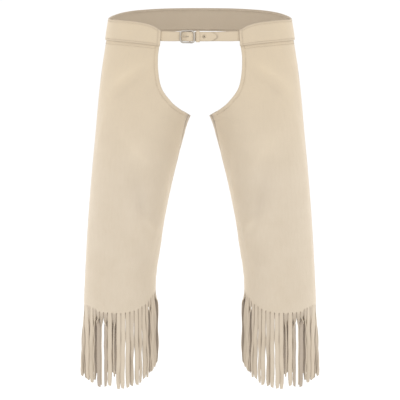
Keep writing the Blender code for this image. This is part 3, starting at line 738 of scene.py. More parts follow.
def back_top(count):
    """Turn and height along a leg back's top edge, which ends at the crotch with the leg front's."""
    height, turn = np.array(SEAT_OPENING, float).T
    band = np.array(BACK_BAND_TURNS, float)
    front_turn, front_height = front_top(count)
    turns = np.concatenate([band, turn, [360 - front_turn[-1]]])
    heights = np.concatenate([band_edge(-band, "lower") + BAND_OVERLAP, height, [front_height[-1]]])
    return along(turns, count), along(heights, count)


def panel_places(top, hem_turn):
    """Turn and height of a panel's grid. Column by column, the turn goes from an even share of the hem's
    turn to its place on the top edge with the fourth power of the row's share, and the height goes from the
    hem to the top edge in proportion. Rows and columns stand closer together near the edges."""
    top_turn, top_height = top
    count = len(top_turn)
    share = 1 - (1 - np.linspace(0, 1, PANEL_ROWS)[:, None]) ** ROW_BEND
    start = np.linspace(0, hem_turn, count)
    turn = start + (top_turn - start) * share**INSEAM_BEND
    low = hem_height(start) - HEM_JOIN
    return turn, low + (top_height - low) * share


def panel_points(places, side, facing):
    """Points of a panel, pressed in at its seams and stitched lines by bells of the distance from them, and
    slightly uneven. Returns also each point's distances from the hip seam, the inner edge and the top edge,
    measured along the grid."""
    turn, height = places
    u, v = sheet_lengths(form(turn * facing, height, side))
    to_side_seam, to_inner, to_top = u, u[:, -1:] - u, v[-1:] - v
    depth, width = SEAM_GROOVE
    seam = depth * bell(to_side_seam, width)
    start, run = INSEAM_START
    inner_seam = ease((height[:, -1:].max() - start - height) / run) * depth * bell(to_inner, width)
    stitched = SEAM_SINK * bell(to_side_seam - SEAM_STITCH, STITCH_GROOVE)
    broad, pitch, seed = BROAD_UNEVEN
    fine, fine_pitch, fine_seed = FINE_UNEVEN
    uneven = (broad * crumple(to_side_seam, height, pitch, seed + facing)
              + fine * crumple(to_side_seam, height, fine_pitch, fine_seed))
    start, run = UNEVEN_START
    fade = ease((band_edge(turn * facing, "lower") - start - height) / run)
    pressed = (uneven * fade - seam - inner_seam - stitched) * ease((height - height[:1]) / HEM_RUN)
    return form(turn * facing, height, side, pressed), to_side_seam, to_inner, to_top


def build_panel(name, places, side, facing, materials, sizes):
    """Puts a leg panel in the scene. Its edge attribute says how dark the nap is drawn: a sum of bells of the
    distances from the top edge and the inseam, which darken it, and painted shade at the crotch's tip and, on
    a back panel, at the inner thigh. It goes down for painted light: by the folds' lift, a painted highlight
    on their ridges and painted shade in their hollows, and by a bell from the inseam, painted light along the
    inner side of the leg."""
    points, to_side_seam, to_inner, to_top = panel_points(places, side, facing)
    tip = np.linalg.norm(points - points[-1, -1], axis=-1)
    edge = TOP_SHADE * bell(to_top, TOP_REACH) + bell(to_inner, INSEAM_REACH)
    # Painted shade at the crotch's tip
    edge = edge + TIP_SHADE * bell(tip, TIP_REACH)
    # Painted highlight on the folds' ridges and painted shade in their hollows
    edge = edge - FOLD_PAINTED_LIGHT * fold_lift(places[0] * facing, places[1])
    # Painted light along the inner side of the leg, by height
    rubbed = smooth_column(INNER_PAINTED_LIGHT, INNER_PAINTED_LIGHT_COLUMNS, "rubbed", points[..., 2])
    edge = edge - rubbed * bell(to_inner, INNER_PAINTED_LIGHT_REACH)
    # Painted shade down the inner thigh of a back panel
    if facing < 0:
        drop = points[-1, -1, 2] - points[..., 2]
        edge = edge + THIGH_SHADE * bell(drop, THIGH_DROP) * bell(to_inner, THIGH_REACH)
    uv = np.stack([to_side_seam, places[1]], axis=-1)
    faces = grid_faces(*points.shape[:2], flip=side * facing > 0)
    worn = np.full(edge.shape, True)
    worn[0] = False
    made = put_piece(name, points, faces, materials, uv, edge, worn)
    put_wall(made, sizes.suede, 1)
    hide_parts(name)
    return made, points


def inset_line(turn, height, first, distance):
    """A line inside a panel's top edge, from column 'first' on: each point of the edge moved at right
    angles to it, over the surface, by the distance."""
    reach = section_column("half_depth", height)
    across = np.radians(turn) * reach
    du, dv = np.gradient(across), np.gradient(height)
    size = np.hypot(du, dv)
    inner_across = across + distance * dv / size
    inner_height = height - distance * du / size
    return np.degrees(inner_across / reach)[first:], inner_height[first:]


# Operators

def suede_materials():
    """The suede's outer side, inner side and cut edge, in the order that put_wall uses them."""
    return [bpy.data.materials[name] for name in ("napped_suede", "suede_inner_side", "suede_cut_edge")]


class CHAPS_OT_materials(bpy.types.Operator):
    """Makes the suede, thread and metal materials"""

    bl_idname = "chaps.materials"
    bl_label = "Materials"

    def execute(self, context):
        colours = context.scene.chaps_colours
        make_suede("napped_suede", colours.nap, colours, 0.0)
        make_suede("suede_inner_side", colours.flesh_and_shade, colours, 0.5)
        make_cut_edge(colours)
        make_thread(colours)
        make_metal("aged_nickel", colours.metal, colours, 0.9)
        make_metal("rubbed_nickel", colours.rubbed, colours, 0.25)
        return {"FINISHED"}


class CHAPS_OT_legs(bpy.types.Operator):
    """Builds the four leg panels with their folds, and the sewing along their edges"""

    bl_idname = "chaps.legs"
    bl_label = "Legs"

    def execute(self, context):
        sizes = sizes_in_mm(context)
        suede = suede_materials()
        front = panel_places(front_top(PANEL_COLUMNS), INSEAM_HEM_TURN)
        back = panel_places(back_top(PANEL_COLUMNS), 360 - INSEAM_HEM_TURN)
        on_band = len(FRONT_BAND_TURNS)
        corner = int(on_band / (on_band + len(CUT_OUT) - 1) * PANEL_COLUMNS)
        for word, side in SIDES:
            front_piece, front_points = build_panel(f"leg_front_{word}", front, side, 1, suede, sizes)
            back_piece, back_points = build_panel(f"leg_back_{word}", back, side, -1, suede, sizes)
            rows = []
            for (turn, height), facing in ((front, 1), (back, -1)):
                turn, height = turn[:, 0], height[:, 0]
                inset = np.degrees(SEAM_STITCH / section_column("half_depth", height))
                rows.append(surface_line((turn + inset) * facing, height, side, sizes.suede - SEAM_SINK))
            inset = inset_line(front[0][-1], front[1][-1], corner, CUT_OUT_STITCH)
            turn, height = (line[CUT_OUT_SEWN] for line in inset)
            rows.append(surface_line(turn, height, side, sizes.suede - CUT_OUT_SINK))
            for end, facing in ((BAND_END_TURN, 1), (SEAT_OPENING[0][1], -1)):
                across = np.linspace(YOKE_START, end - YOKE_END, YOKE_PLACES) * facing
                rows.append(surface_line(across, band_edge(across, "lower") - YOKE_STITCH, side, sizes.suede))
            points, faces = stitch_rows(rows, sizes)
            thread = put_piece(f"leg_sewing_{word}", points, faces, [bpy.data.materials["waxed_thread"]])
            declare(front_points)
            declare(back_points)
        return {"FINISHED"}


# Waistband. Its grid has rows at these distances from both edges, squeezed where the band is lower than
# BAND_FULL_HEIGHT, and at these shares of the height between

BAND_TURN_STEP = 0.9
BAND_EDGE_ROWS = (0, 0.6, 1.4, 2.4, 3.0, 3.4, 3.8, 4.2, 4.6, 5.4, 7.0)
BAND_INNER_ROWS = (0.3, 0.4, 0.5, 0.6, 0.7)
BAND_FULL_HEIGHT = 22
BAND_LIFT = 2.1
BAND_END_START = 53.0
BAND_END_LIFT = 0.4
BAND_END_RADIUS = 150
BAND_BEVEL = 0.5

# Widths of the grooves under its stitches, along it and at its end, how dark the painted shade in them is,
# and how far from its edges it is drawn darker
BAND_GROOVE = 0.8
BAND_END_GROOVE = 1.0
BAND_GROOVE_SHADE = 0.8
BAND_EDGE_REACH = 2.2

# Between its sewn edges the band puffs out: how far, from what distance on, and over what lengths from its
# long edges and from its end. Its unevenness has a height, a length of wave, a seed and a run at the edges
BAND_PUFF = (0.35, 4, 6, 8)
BAND_UNEVEN = (0.15, 26, 31, 8)
BAND_MM_A_DEGREE = 2.2

# Turns from the end to where the long rows and the row across it are sewn, and how far that row stops from
# the lower and the upper edge
BAND_ROW_START = 1.9
BAND_ROW_PLACES = 400
BAND_END_ROW = 1.75
BAND_END_STOPS = (5, 6)
BAND_END_PLACES = 30


def band_lift(turn):
    """How far the waistband's inner side stands off the form: a little more towards its front ends."""
    return BAND_LIFT + BAND_END_LIFT * ease((turn - BAND_END_START) / (BAND_END_TURN - BAND_END_START))


def band_places():
    """Turn, height, and distances to the edges of the waistband's grid, for one half from its front end to
    the middle of the back."""
    turn = np.linspace(BAND_END_TURN, -90, int((BAND_END_TURN + 90) / BAND_TURN_STEP))
    lower, upper = band_edge(turn, "lower"), band_edge(turn, "upper")
    edge_rows = np.array(BAND_EDGE_ROWS)[:, None]
    inner = np.array(BAND_INNER_ROWS)[:, None]
    scale = np.minimum((upper - lower) / BAND_FULL_HEIGHT, 1)
    height = np.concatenate([
        lower + edge_rows * scale,
        lower + inner * (upper - lower),
        upper - edge_rows[::-1] * scale,
    ])
    turn = np.broadcast_to(turn, height.shape)
    return turn, height, height - lower, upper - height


def mirrored(first, second=None):
    """A half grid from its front end to the middle of the back, joined to its other half turned round."""
    second = first if second is None else second
    return np.concatenate([first, second[:, -2::-1]], axis=1)


class CHAPS_OT_waistband(bpy.types.Operator):
    """Builds the waistband with its sewn lines, inside and out"""

    bl_idname = "chaps.waistband"
    bl_label = "Waistband"

    def execute(self, context):
        sizes = sizes_in_mm(context)
        turn, height, from_low, from_high = band_places()
        nearest = np.minimum(from_low, from_high)
        end = np.radians(BAND_END_TURN - turn) * BAND_END_RADIUS
        groove = (
            bell(from_low - BAND_STITCH_BOTTOM, BAND_GROOVE) + bell(from_high - BAND_STITCH_TOP, BAND_GROOVE)
        ) * ease(end / BAND_STITCH_END) + bell(end - BAND_STITCH_END, BAND_END_GROOVE)
        rise, start, run, end_run = BAND_PUFF
        puff = rise * ease((nearest - start) / run) * ease((end - start) / end_run)
        rise, pitch, seed, run = BAND_UNEVEN
        uneven = rise * crumple(turn * BAND_MM_A_DEGREE, height, pitch, seed) * ease(nearest / run)
        lift = band_lift(turn) - BAND_SINK * groove + puff + uneven
        points = mirrored(*(form(turn, height, side, lift, folds=False) for side in (-1, 1)))
        u, _ = sheet_lengths(points)
        # Darker along its edges, and painted shade in the grooves under its stitches
        edge = bell(mirrored(nearest), BAND_EDGE_REACH) + BAND_GROOVE_SHADE * mirrored(groove)
        band = put_piece("waistband", points, grid_faces(*points.shape[:2], flip=True), suede_materials(),
                         np.stack([u, mirrored(height)], axis=-1), edge)
        put_wall(band, sizes.band, 1, BAND_BEVEL)
        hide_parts("waistband")

        turn = np.linspace(BAND_END_TURN - BAND_ROW_START, -90, BAND_ROW_PLACES)
        inside = band_lift(turn) - BAND_SINK
        end_turn = BAND_END_TURN - BAND_END_ROW
        above, below = BAND_END_STOPS
        end_height = np.linspace(band_edge(end_turn, "lower") + above, band_edge(end_turn, "upper") - below,
                                 BAND_END_PLACES)
        outer_rows, inner_rows = [], []
        for side in (1, -1):
            for height in (band_edge(turn, "lower") + BAND_STITCH_BOTTOM,
                           band_edge(turn, "upper") - BAND_STITCH_TOP):
                outer_rows.append(surface_line(turn, height, side, inside + sizes.band))
                inner_rows.append(surface_line(turn, height, side, inside, inward=True))
            end_lift = band_lift(end_turn) - BAND_SINK + sizes.band
            outer_rows.append(surface_line(end_turn, end_height, side, end_lift))
        thread = [bpy.data.materials["waxed_thread"]]
        outer = put_piece("waistband_sewing_outside", *stitch_rows(outer_rows, sizes), thread)
        inner = put_piece("waistband_sewing_inside", *stitch_rows(inner_rows, sizes), thread)
        declare(points)
        return {"FINISHED"}


# Fringe

# A strand's steps down and cells across, how the steps draw together at its root, the notch there, and the
# shares of its length by which it starts to turn, leaves its root's line and has its own width, and from
# which its tip slants and narrows, to its last share of the width
STRAND_STEPS = 36
STRAND_CELLS = 4
STEP_BEND = 1.5
NOTCH_DEPTH = 0.16
NOTCH_HEIGHT = 1.5
TURN_START = 0.03
ROOT_SHARE = 0.05
WIDTH_SHARE = 0.2
SLANT_START = 0.9
TIP_START = 0.93
STRAND_TIP = 0.62

# Limits of what each strand draws at random: how far its root drops, its curl, the length of its sways and
# the slant of its tip. Then how far it sways, by what share of its length, the square of the place on its
# half width where its curl is level, and how much faster than the fall the curl comes
ROOT_DROPS = (-1.2, 1.5)
CURL = 0.3
SWAY_LENGTHS = (7, 13)
TIP_SLANT = 2.5
SWAY_OUT = 0.8
SWAY_ALONG = 0.4
SWAY_SHARE = 0.5
CURL_LEVEL = 0.4
BOW_RATE = 1.5

# Distance from cut to cut on the hide, how much painted shade a shaded strand gets, how sharply the
# darkening rises towards a strand's rim and down from its root, and by what share of its length a shaded
# strand takes its full painted shade
CUT_SPACING = 31.0
STRAND_SHADE = 1.5
RIM_POWER = 6
RIM_FALL = 0.2
DARK_SHARE = 0.125


def fringe_points(side, sizes):
    """Points of the strip's top edge, strands by places across, and of every strand, strands by steps by
    places across. A strand is a ribbon that falls straight from its root, turns about its own middle with a
    smooth step of the way down, drifts as it falls, curls across its width and sways a little. Just below
    its root it is a little narrower, where the cut ends in a notch. Returns also how much painted shade each
    strand gets."""
    count = sizes.strands
    middles = (np.arange(count) + 0.5) * 360 / count
    half_turn = np.degrees(sizes.strand_width / 2 / section_column("half_depth", HEM_LEVEL))
    turn, twist_end, drift_end, drift_along, drift_out, length, width, shade = (
        np.array(STRAND_TABLE[:count]).T[:, :, None])
    turn = np.radians(turn)
    chance = np.random.default_rng(FRINGE_SEED)
    root_drop, curl = chance.uniform(*ROOT_DROPS, (count, 1)), chance.uniform(-CURL, CURL, (count, 1))
    wave, phase = chance.uniform(*SWAY_LENGTHS, (2, count, 1)), chance.uniform(0, 2 * np.pi, (2, count, 1))
    slant = chance.uniform(-TIP_SLANT, TIP_SLANT, (count, 1, 1))

    place = np.linspace(-1, 1, STRAND_CELLS + 1)
    turns = middles[:, None] + half_turn * place
    top = form(turns, hem_height(turns) - HEM_JOIN, side)
    down = np.array([0.0, 0.0, -1.0])
    root = top + (sizes.strip + root_drop)[..., None] * down
    across = unit(root[:, -1] - root[:, 0])[:, None]
    outward = form(middles, HEM_LEVEL, side, 1.0) - form(middles, HEM_LEVEL, side)
    outward[:, 2] = 0
    outward = unit(outward)[:, None]

    step = np.linspace(0, 1, STRAND_STEPS) ** STEP_BEND
    turned = (turn * ease((step - TURN_START) / (twist_end - TURN_START)))[..., None]
    fallen = step * sizes.strand_length * length
    sways = np.sin(fallen / wave + phase) * ease(step / SWAY_SHARE)
    drift = ease(step / drift_end)
    out = (drift_out * drift + SWAY_OUT * sways[0])[..., None]
    aside = (drift_along * drift ** (1 + drift_end) + SWAY_ALONG * sways[1])[..., None]
    middle = root.mean(axis=1, keepdims=True) + aside * across + out * outward + fallen[..., None] * down
    width_way = np.cos(turned) * across + np.sin(turned) * outward
    thick_way = np.cos(turned) * outward - np.sin(turned) * across
    taper = np.where(step > TIP_START, 1 - (1 - STRAND_TIP) * (step - TIP_START) / (1 - TIP_START), 1.0)
    notch = 1 - NOTCH_DEPTH * fallen / NOTCH_HEIGHT * np.exp(1 - fallen / NOTCH_HEIGHT)
    broad = taper * notch * (1 + (width - 1) * ease(step / WIDTH_SHARE))
    half = sizes.strand_width / 2 * broad[..., None] * place
    bow = (curl * ease(step * BOW_RATE))[..., None] * (place**2 - CURL_LEVEL)
    cut = slant * place * ease((step - SLANT_START) / (1 - SLANT_START))[:, None]
    hanging = (middle[:, :, None] + half[..., None] * width_way[:, :, None]
               + bow[..., None] * thick_way[:, :, None] + cut[..., None] * down)
    blend = ease(step / ROOT_SHARE)[:, None, None]
    straight = (root.mean(axis=1)[:, None, None] + (root - root.mean(axis=1, keepdims=True))[:, None]
                * (taper * notch)[..., None, None] + fallen[..., None, None] * down)
    return top, straight * (1 - blend) + hanging * blend, shade


class CHAPS_OT_fringe(bpy.types.Operator):
    """Builds the fringe round each hem: a narrow strip, and the strands cut from it"""

    bl_idname = "chaps.fringe"
    bl_label = "Fringe"

    def execute(self, context):
        sizes = sizes_in_mm(context)
        for word, side in SIDES:
            top, strands, shade = fringe_points(side, sizes)
            count, steps, places = strands.shape[:3]
            strip = np.stack([top, (top + strands[:, 0]) / 2]).reshape(2, -1, 3)
            ring = np.arange(count * places)
            points = np.concatenate([strip.reshape(-1, 3), strands.reshape(-1, 3)])
            starts = 2 * len(ring) + np.arange(count) * steps * places
            levels = np.stack([ring, len(ring) + ring, (starts[:, None] + np.arange(places)).ravel()])
            strand_faces = (grid_faces(steps, places)[None] + starts[:, None, None]).reshape(-1, 4)
            faces = np.concatenate([quads(levels, closed=True), strand_faces])
            across = np.arange(count)[:, None] * CUT_SPACING + np.linspace(0, sizes.strand_width, places)
            strand_across = np.broadcast_to(across[:, None], strands.shape[:3])
            uv = np.concatenate([
                np.stack([np.tile(across.ravel(), 2), strip[..., 2].ravel()], axis=-1),
                np.stack([strand_across, strands[..., 2]], axis=-1).reshape(-1, 2),
            ])
            share = np.linspace(0, 1, steps)
            rim = np.abs(np.linspace(-1, 1, places)) ** RIM_POWER * share[:, None] ** RIM_FALL
            # Darker towards each strand's rim, and painted shade on the strands that are turned away or hang
            # in shade
            dark = rim.ravel() + STRAND_SHADE * shade * np.repeat(ease(share / DARK_SHARE), places)
            edge = np.concatenate([np.zeros(2 * len(ring)), dark.ravel()])
            fringe = put_piece(f"fringe_{word}", points, faces if side > 0 else faces[:, ::-1],
                               suede_materials(), uv, edge, np.full(len(points), False))
            put_wall(fringe, sizes.suede, 1)
            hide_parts(f"fringe_{word}")
        return {"FINISHED"}


# Strap, buckle, keeper and eyelet

ROUTE_PLACES = 400
STRAP_EDGE_PLACES = (-1, -0.965, -0.9, -0.7, -0.45)
STRAP_DOME = 0.2
STRAP_BEVEL = 0.35
STRAP_RIM_POWER = 12
STRAP_NAP = 10

# Darkening round the tail's end: how far it reaches up the tail. Then the painted shadow that the tail's end
# casts on the strap behind it: the distance from the tail's outline where it is darkest, its reach, and its
# share above the tail against below it
TAIL_SHADE_REACH = 1.5
SHADOW_DISTANCE = 0.8
SHADOW_REACH = 1.3
SHADOW_ABOVE = 0.5

# Scale of the keeper's nap: millimetres of the pattern to one across it, and degrees round it to one
KEEPER_NAP = (3, 6)


def on_belt(x, lift, height=STRAP_HEIGHT):
    """A point of the belt line in millimetres: on the waist oval's front at x, 'lift' in front of it. Its
    turn is the one whose cosine is x over the oval's reach."""
    reach = section_column("outer", np.asarray(height, float))
    turn = np.degrees(np.arccos(np.clip(np.asarray(x, float) / reach, -1, 1)))
    return form(turn, height, 1, lift, folds=False)


def strap_half_width(x):
    """Half the strap's width at x, which grows by a smooth step towards the ends sewn to the band."""
    start, end = STRAP_TAPER
    return (STRAP_WIDTH + (STRAP_END_WIDTH - STRAP_WIDTH) * ease((np.abs(x) - start) / (end - start))) / 2


def tail_share(x):
    """The share of its width that the tail strap still has at x: 1, less a power of the way along its
    pointed end."""
    point = np.clip((x - TAIL_POINT_START) / (TAIL_ROUTE[-1][0] - TAIL_POINT_START), 0, 1)
    return 1 - (1 - TAIL_POINT_WIDTH) * point**TAIL_POINT_POWER


def route_curve(route, count=None):
    """Stations on a smooth curve through a route of x and lift, at even distances: 'count' of them, or one
    to a millimetre."""
    x, lift = np.array(route, float).T
    run = running(np.hypot(np.diff(x), np.diff(lift)))
    at = np.linspace(0, run[-1], count or int(run[-1]) + 1)
    rows = np.stack([run, x, lift], axis=1)
    return [smooth_column(rows, ("run", "x", "lift"), name, at) for name in ("x", "lift")]


def round_bar(radius, first, last, step):
    """Places on a circle round the buckle's bar, from degree to degree, as x and lift."""
    turns = [math.radians(degree) for degree in range(first, last + 1, step)]
    return [(BAR_X + radius * math.cos(turn), BAR_LIFT + radius * math.sin(turn)) for turn in turns]


def strap_grid(x, lift, places, share=1.0):
    """A strap's points: across it, a place from -1 to 1 is that share of its half width, and its face is
    domed by STRAP_DOME times 1 less the square of the place."""
    half = strap_half_width(x) * share
    dome = STRAP_DOME * (1 - places[:, None] ** 2)
    return on_belt(x[None], lift[None] + dome, STRAP_HEIGHT + places[:, None] * half[None])


def strap_cells(x, places):
    """The quads of a strap's grid, with the x and the place across of each quad's middle."""
    faces = grid_faces(len(places), len(x))
    row, column = np.divmod(faces[:, 0], len(x))
    return faces, (x[column] + x[column + 1]) / 2, np.abs(places[row] + places[row + 1]) / 2


def put_strap(name, points, faces, places, darkened_and_shadowed, thickness):
    """Puts a strap in the scene with its wall and its cut size. It is drawn darker along its edges, and where
    'darkened_and_shadowed' says: at the tail's end, and with painted shadow on the strap behind it."""
    u, _ = sheet_lengths(points)
    uv = np.stack([u, np.broadcast_to(places[:, None] * STRAP_NAP, u.shape)], axis=-1)
    edge = STRAP_SHADE * np.maximum(np.abs(places[:, None]) ** STRAP_RIM_POWER, darkened_and_shadowed)
    strap = put_piece(name, points, faces, suede_materials(), uv, edge)
    put_wall(strap, thickness, 0, STRAP_BEVEL)
    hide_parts(name)


def squared(wave):
    """A sine or cosine drawn out towards -1 and 1: its size to the power KEEPER_ROUNDING, with its sign."""
    return np.sign(wave) * np.abs(wave) ** KEEPER_ROUNDING


NEARLY_STRAIGHT = 0.2


def tube(path, radius, closed, sides=14, flatten=1.0):
    """A round bar along a path of points: a ring of points at each station, across the path in the plane of
    the belt's outward direction. Returns points and faces, with the ends closed."""
    ahead = unit((np.roll(path, -1, 0) - np.roll(path, 1, 0)) if closed else np.gradient(path, axis=0))
    across = np.cross(ahead, (0.0, -1.0, 0.0))
    # Where the bar runs nearly straight out from the belt, the upright stands in for the outward direction
    straight_out = np.linalg.norm(across, axis=1) < NEARLY_STRAIGHT
    across[straight_out] = np.cross(ahead[straight_out], (0.0, 0.0, 1.0))
    across = unit(across)
    up = np.cross(across, ahead)
    angle = (np.arange(sides) * 2 * np.pi / sides)[None, :, None]
    ring = np.cos(angle) * across[:, None] + flatten * np.sin(angle) * up[:, None]
    points = (path[:, None] + radius * ring).reshape(-1, 3)
    index = np.arange(len(points)).reshape(-1, sides)
    faces = quads(np.concatenate([index, index[:1]]) if closed else index, closed=True)
    if not closed:
        half = np.arange(sides // 2 - 1)
        cap = np.stack([half, half + 1, sides - 2 - half, sides - 1 - half], axis=-1)
        faces = np.concatenate([faces, index[0][cap][:, ::-1], index[-1][cap]])
    return points, faces


def outward_faces(points, groups):
    """Turns each closed shell's faces outwards, by the sign of its volume."""
    turned = []
    for faces in groups:
        a, b, c, d = (points[faces[:, i]] for i in range(4))
        volume = (np.cross(b, c) * a).sum() + (np.cross(c, d) * a).sum()
        turned.append(faces if volume > 0 else faces[:, ::-1])
    return np.concatenate(turned)


def put_tubes(name, tubes, material):
    """Several bars as one piece, with their faces turned outwards."""
    points = np.concatenate([bar for bar, _ in tubes])
    starts = running([len(bar) for bar, _ in tubes])
    groups = [faces + start for (_, faces), start in zip(tubes, starts)]
    return put_piece(name, points, outward_faces(points, groups), [material])


def frame_lift(x):
    """Lift of the buckle frame at x: low over its left part, and by a smooth step up to its right bar over
    both straps."""
    start, end = FRAME_RISE
    return FRAME_LOW + (FRAME_HIGH - FRAME_LOW) * ease((x - start) / (end - start))


def frame_loop():
    """Middle line of the buckle frame, as x and height over its middle: quarter circles about the centres
    of its corners, with straight runs between them, anticlockwise from the upper right."""
    half = FRAME_HEIGHT / 2 - FRAME_CORNER
    right, left = FRAME_RIGHT - FRAME_CORNER, FRAME_LEFT + FRAME_CORNER
    centres = np.array([(right, half), (left, half), (left, -half), (right, -half)])
    turns = np.radians(np.arange(0, 91, 9) + 90 * np.arange(4)[:, None])
    arcs = list(centres[:, None] + FRAME_CORNER * np.stack([np.cos(turns), np.sin(turns)], axis=-1))
    runs = [np.linspace(arc[-1], after[0], count)[1:-1]
            for arc, after, count in zip(arcs, arcs[1:] + arcs[:1], FRAME_PLACES)]
    return np.concatenate([part for pair in zip(arcs, runs) for part in pair])


class CHAPS_OT_strap(bpy.types.Operator):
    """Builds the two halves of the strap and its keeper"""

    bl_idname = "chaps.strap"
    bl_label = "Strap"

    def execute(self, context):
        slot_start, slot_end, slot_width = TONGUE_SLOT
        slot_place, hole_place = slot_width / STRAP_WIDTH, 2 * EYELET_HOLE / STRAP_WIDTH
        rim = np.array(STRAP_EDGE_PLACES)

        # The tail, with a slot for the tongue and a hole under the eyelet's flange
        cuts = (slot_start, slot_end, EYELET_X - EYELET_HOLE, EYELET_X + EYELET_HOLE)
        x = np.unique(np.concatenate([route_curve(TAIL_ROUTE)[0], cuts]))
        fine = np.linspace(TAIL_ROUTE[0][0], TAIL_ROUTE[-1][0], ROUTE_PLACES)
        lift = np.interp(x, fine, smooth_column(TAIL_ROUTE, ("x", "lift"), "lift", fine))
        places = np.concatenate([rim, [-hole_place, -slot_place, 0, slot_place, hole_place], -rim[::-1]])
        faces, cell_x, cell_place = strap_cells(x, places)
        in_slot = (cell_x > slot_start) & (cell_x < slot_end) & (cell_place < slot_place)
        in_hole = (np.abs(cell_x - EYELET_X) < EYELET_HOLE) & (cell_place < hole_place)
        put_strap("tail_strap", strap_grid(x, lift, places, tail_share(x)), faces[~(in_slot | in_hole)],
                  places, bell(x[-1] - x, TAIL_SHADE_REACH), TAIL_SUEDE)

        # The buckle strap, folded round the bar and slotted for the tongue there. It gets a painted shadow
        # just outside the outline of the tail's end, most below it
        turn = round_bar(BAR_WIRE + WRAP_GAP + BUCKLE_SUEDE / 2, *WRAP_TURN)
        x, lift = route_curve([*BUCKLE_ROUTE_IN, *turn, *BUCKLE_ROUTE_BACK])
        places = np.concatenate([rim, [-slot_place, slot_place], -rim[::-1]])
        faces, cell_x, cell_place = strap_cells(x, places)
        in_slot = (cell_place < slot_place) & (cell_x < WRAP_SLOT_END)
        outside = (np.abs(places[:, None]) - tail_share(x)) * STRAP_WIDTH / 2
        beyond = np.maximum(outside, x - TAIL_ROUTE[-1][0])
        share = np.where(places < 0, 1.0, SHADOW_ABOVE)[:, None]
        darkened_and_shadowed = share * bell(beyond - SHADOW_DISTANCE, SHADOW_REACH) * (x > TAIL_POINT_START)
        put_strap("buckle_strap", strap_grid(x, lift, places), faces[~in_slot, ::-1], places, darkened_and_shadowed,
                  BUCKLE_SUEDE)

        # The keeper, a loop round both
        low, high = KEEPER_LIFTS
        turn = np.radians(np.arange(0, 360, 4))
        z = (STRAP_WIDTH / 2 + KEEPER_PLAY + KEEPER_SUEDE / 2) * squared(np.sin(turn))
        lift = (low + high) / 2 + (high - low) / 2 * squared(np.cos(turn))
        width = np.array(KEEPER_PLACES)[:, None] * KEEPER_WIDTH / 2
        points = on_belt(KEEPER_MIDDLE + width, lift, STRAP_HEIGHT + z)
        across, around = KEEPER_NAP
        uv = np.stack(np.broadcast_arrays(width * across, np.degrees(turn) / around), axis=-1)
        edge = np.broadcast_to(np.abs(width / width[-1]) ** RIM_POWER, points.shape[:2])
        faces = grid_faces(*points.shape[:2], closed=True, flip=True)
        keeper = put_piece("strap_keeper", points, faces, suede_materials(), uv, edge)
        put_wall(keeper, KEEPER_SUEDE, 0, KEEPER_BEVEL)
        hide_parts("strap_keeper")
        return {"FINISHED"}


class CHAPS_OT_buckle(bpy.types.Operator):
    """Builds the buckle frame with its bar, the tongue and the eyelet"""

    bl_idname = "chaps.buckle"
    bl_label = "Buckle"

    def execute(self, context):
        metal, rubbed = bpy.data.materials["aged_nickel"], bpy.data.materials["rubbed_nickel"]
        x, z = frame_loop().T
        path = on_belt(x, frame_lift(x), FRAME_MIDDLE + z)
        loop = tube(path, FRAME_BAR, True, flatten=FRAME_WIRE / FRAME_BAR)
        reach = np.linspace(-FRAME_HEIGHT / 2, FRAME_HEIGHT / 2, BAR_PLACES)
        bar = tube(on_belt(BAR_X, BAR_LIFT, FRAME_MIDDLE + reach), BAR_WIRE, False)
        buckle = put_tubes("buckle_frame", [loop, bar], metal)

        ring = round_bar(BAR_WIRE + TONGUE_PLAY + TONGUE_WIRE, *TONGUE_GRIP)
        line = on_belt(*route_curve([*ring, *TONGUE_ROUTE], TONGUE_PLACES))
        tongue = put_tubes("buckle_tongue", [tube(line, TONGUE_WIRE, False, TONGUE_SIDES)], rubbed)

        radius, rise = np.array(EYELET_PROFILE).T[:, :, None]
        angle = np.arange(EYELET_SIDES) * 2 * np.pi / EYELET_SIDES
        around = np.broadcast_arrays(radius * np.cos(angle), -rise, radius * np.sin(angle))
        points = on_belt(EYELET_X, EYELET_LIFT) + np.stack(around, axis=-1)
        faces = grid_faces(len(radius) + 1, EYELET_SIDES, closed=True) % (len(radius) * EYELET_SIDES)
        eyelet = put_piece("eyelet", points, outward_faces(points.reshape(-1, 3), [faces]), [rubbed])
        for made, node in ((buckle, "buckle_frame"), (tongue, "buckle_tongue"), (eyelet, "eyelet")):
            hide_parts(node)
        return {"FINISHED"}


# Materials

def fill(tree, node, sockets):
    """Gives each named socket of a node its value, or links it to the output that is given instead."""
    for socket, value in sockets.items():
        if isinstance(value, bpy.types.NodeSocket):
            tree.links.new(value, node.inputs[socket])
        else:
            node.inputs[socket].default_value = value


def add_node(tree, kind, sockets, output, **settings):
    """Adds a node of a kind with its settings and what its sockets take. Returns its named output."""
    made = tree.nodes.new(kind)
    for name, value in settings.items():
        setattr(made, name, value)
    fill(tree, made, sockets)
    return made.outputs[output]


def object_place(tree):
    """The place on the object, in metres."""
    return add_node(tree, "ShaderNodeTexCoord", {}, "Object")


def noise(tree, place, scale, detail, roughness=0.5):
    """Cloudy noise over a place, with 'scale' clouds to the metre."""
    sockets = {"Vector": place, "Scale": scale, "Detail": detail, "Roughness": roughness}
    return add_node(tree, "ShaderNodeTexNoise", sockets, "Fac")


def spread(tree, value, low, high, most, **settings):
    """A value brought from between low and high to between 0 and 'most'."""
    sockets = {"Value": value, "From Min": low, "From Max": high, "To Max": most}
    return add_node(tree, "ShaderNodeMapRange", sockets, "Result", **settings)


def combined(tree, operation, first, second, **settings):
    """Two values added or multiplied."""
    return add_node(tree, "ShaderNodeMath", {0: first, 1: second}, "Value", operation=operation, **settings)


def mixed(tree, share, first, second, **settings):
    """The mix of two colours by a share, each a plain colour or an output."""
    a, b = (value if isinstance(value, bpy.types.NodeSocket) else (*value, 1.0) for value in (first, second))
    return add_node(tree, "ShaderNodeMix", {"Factor": share, "A": a, "B": b}, "Result", data_type="RGBA",
                    **settings)


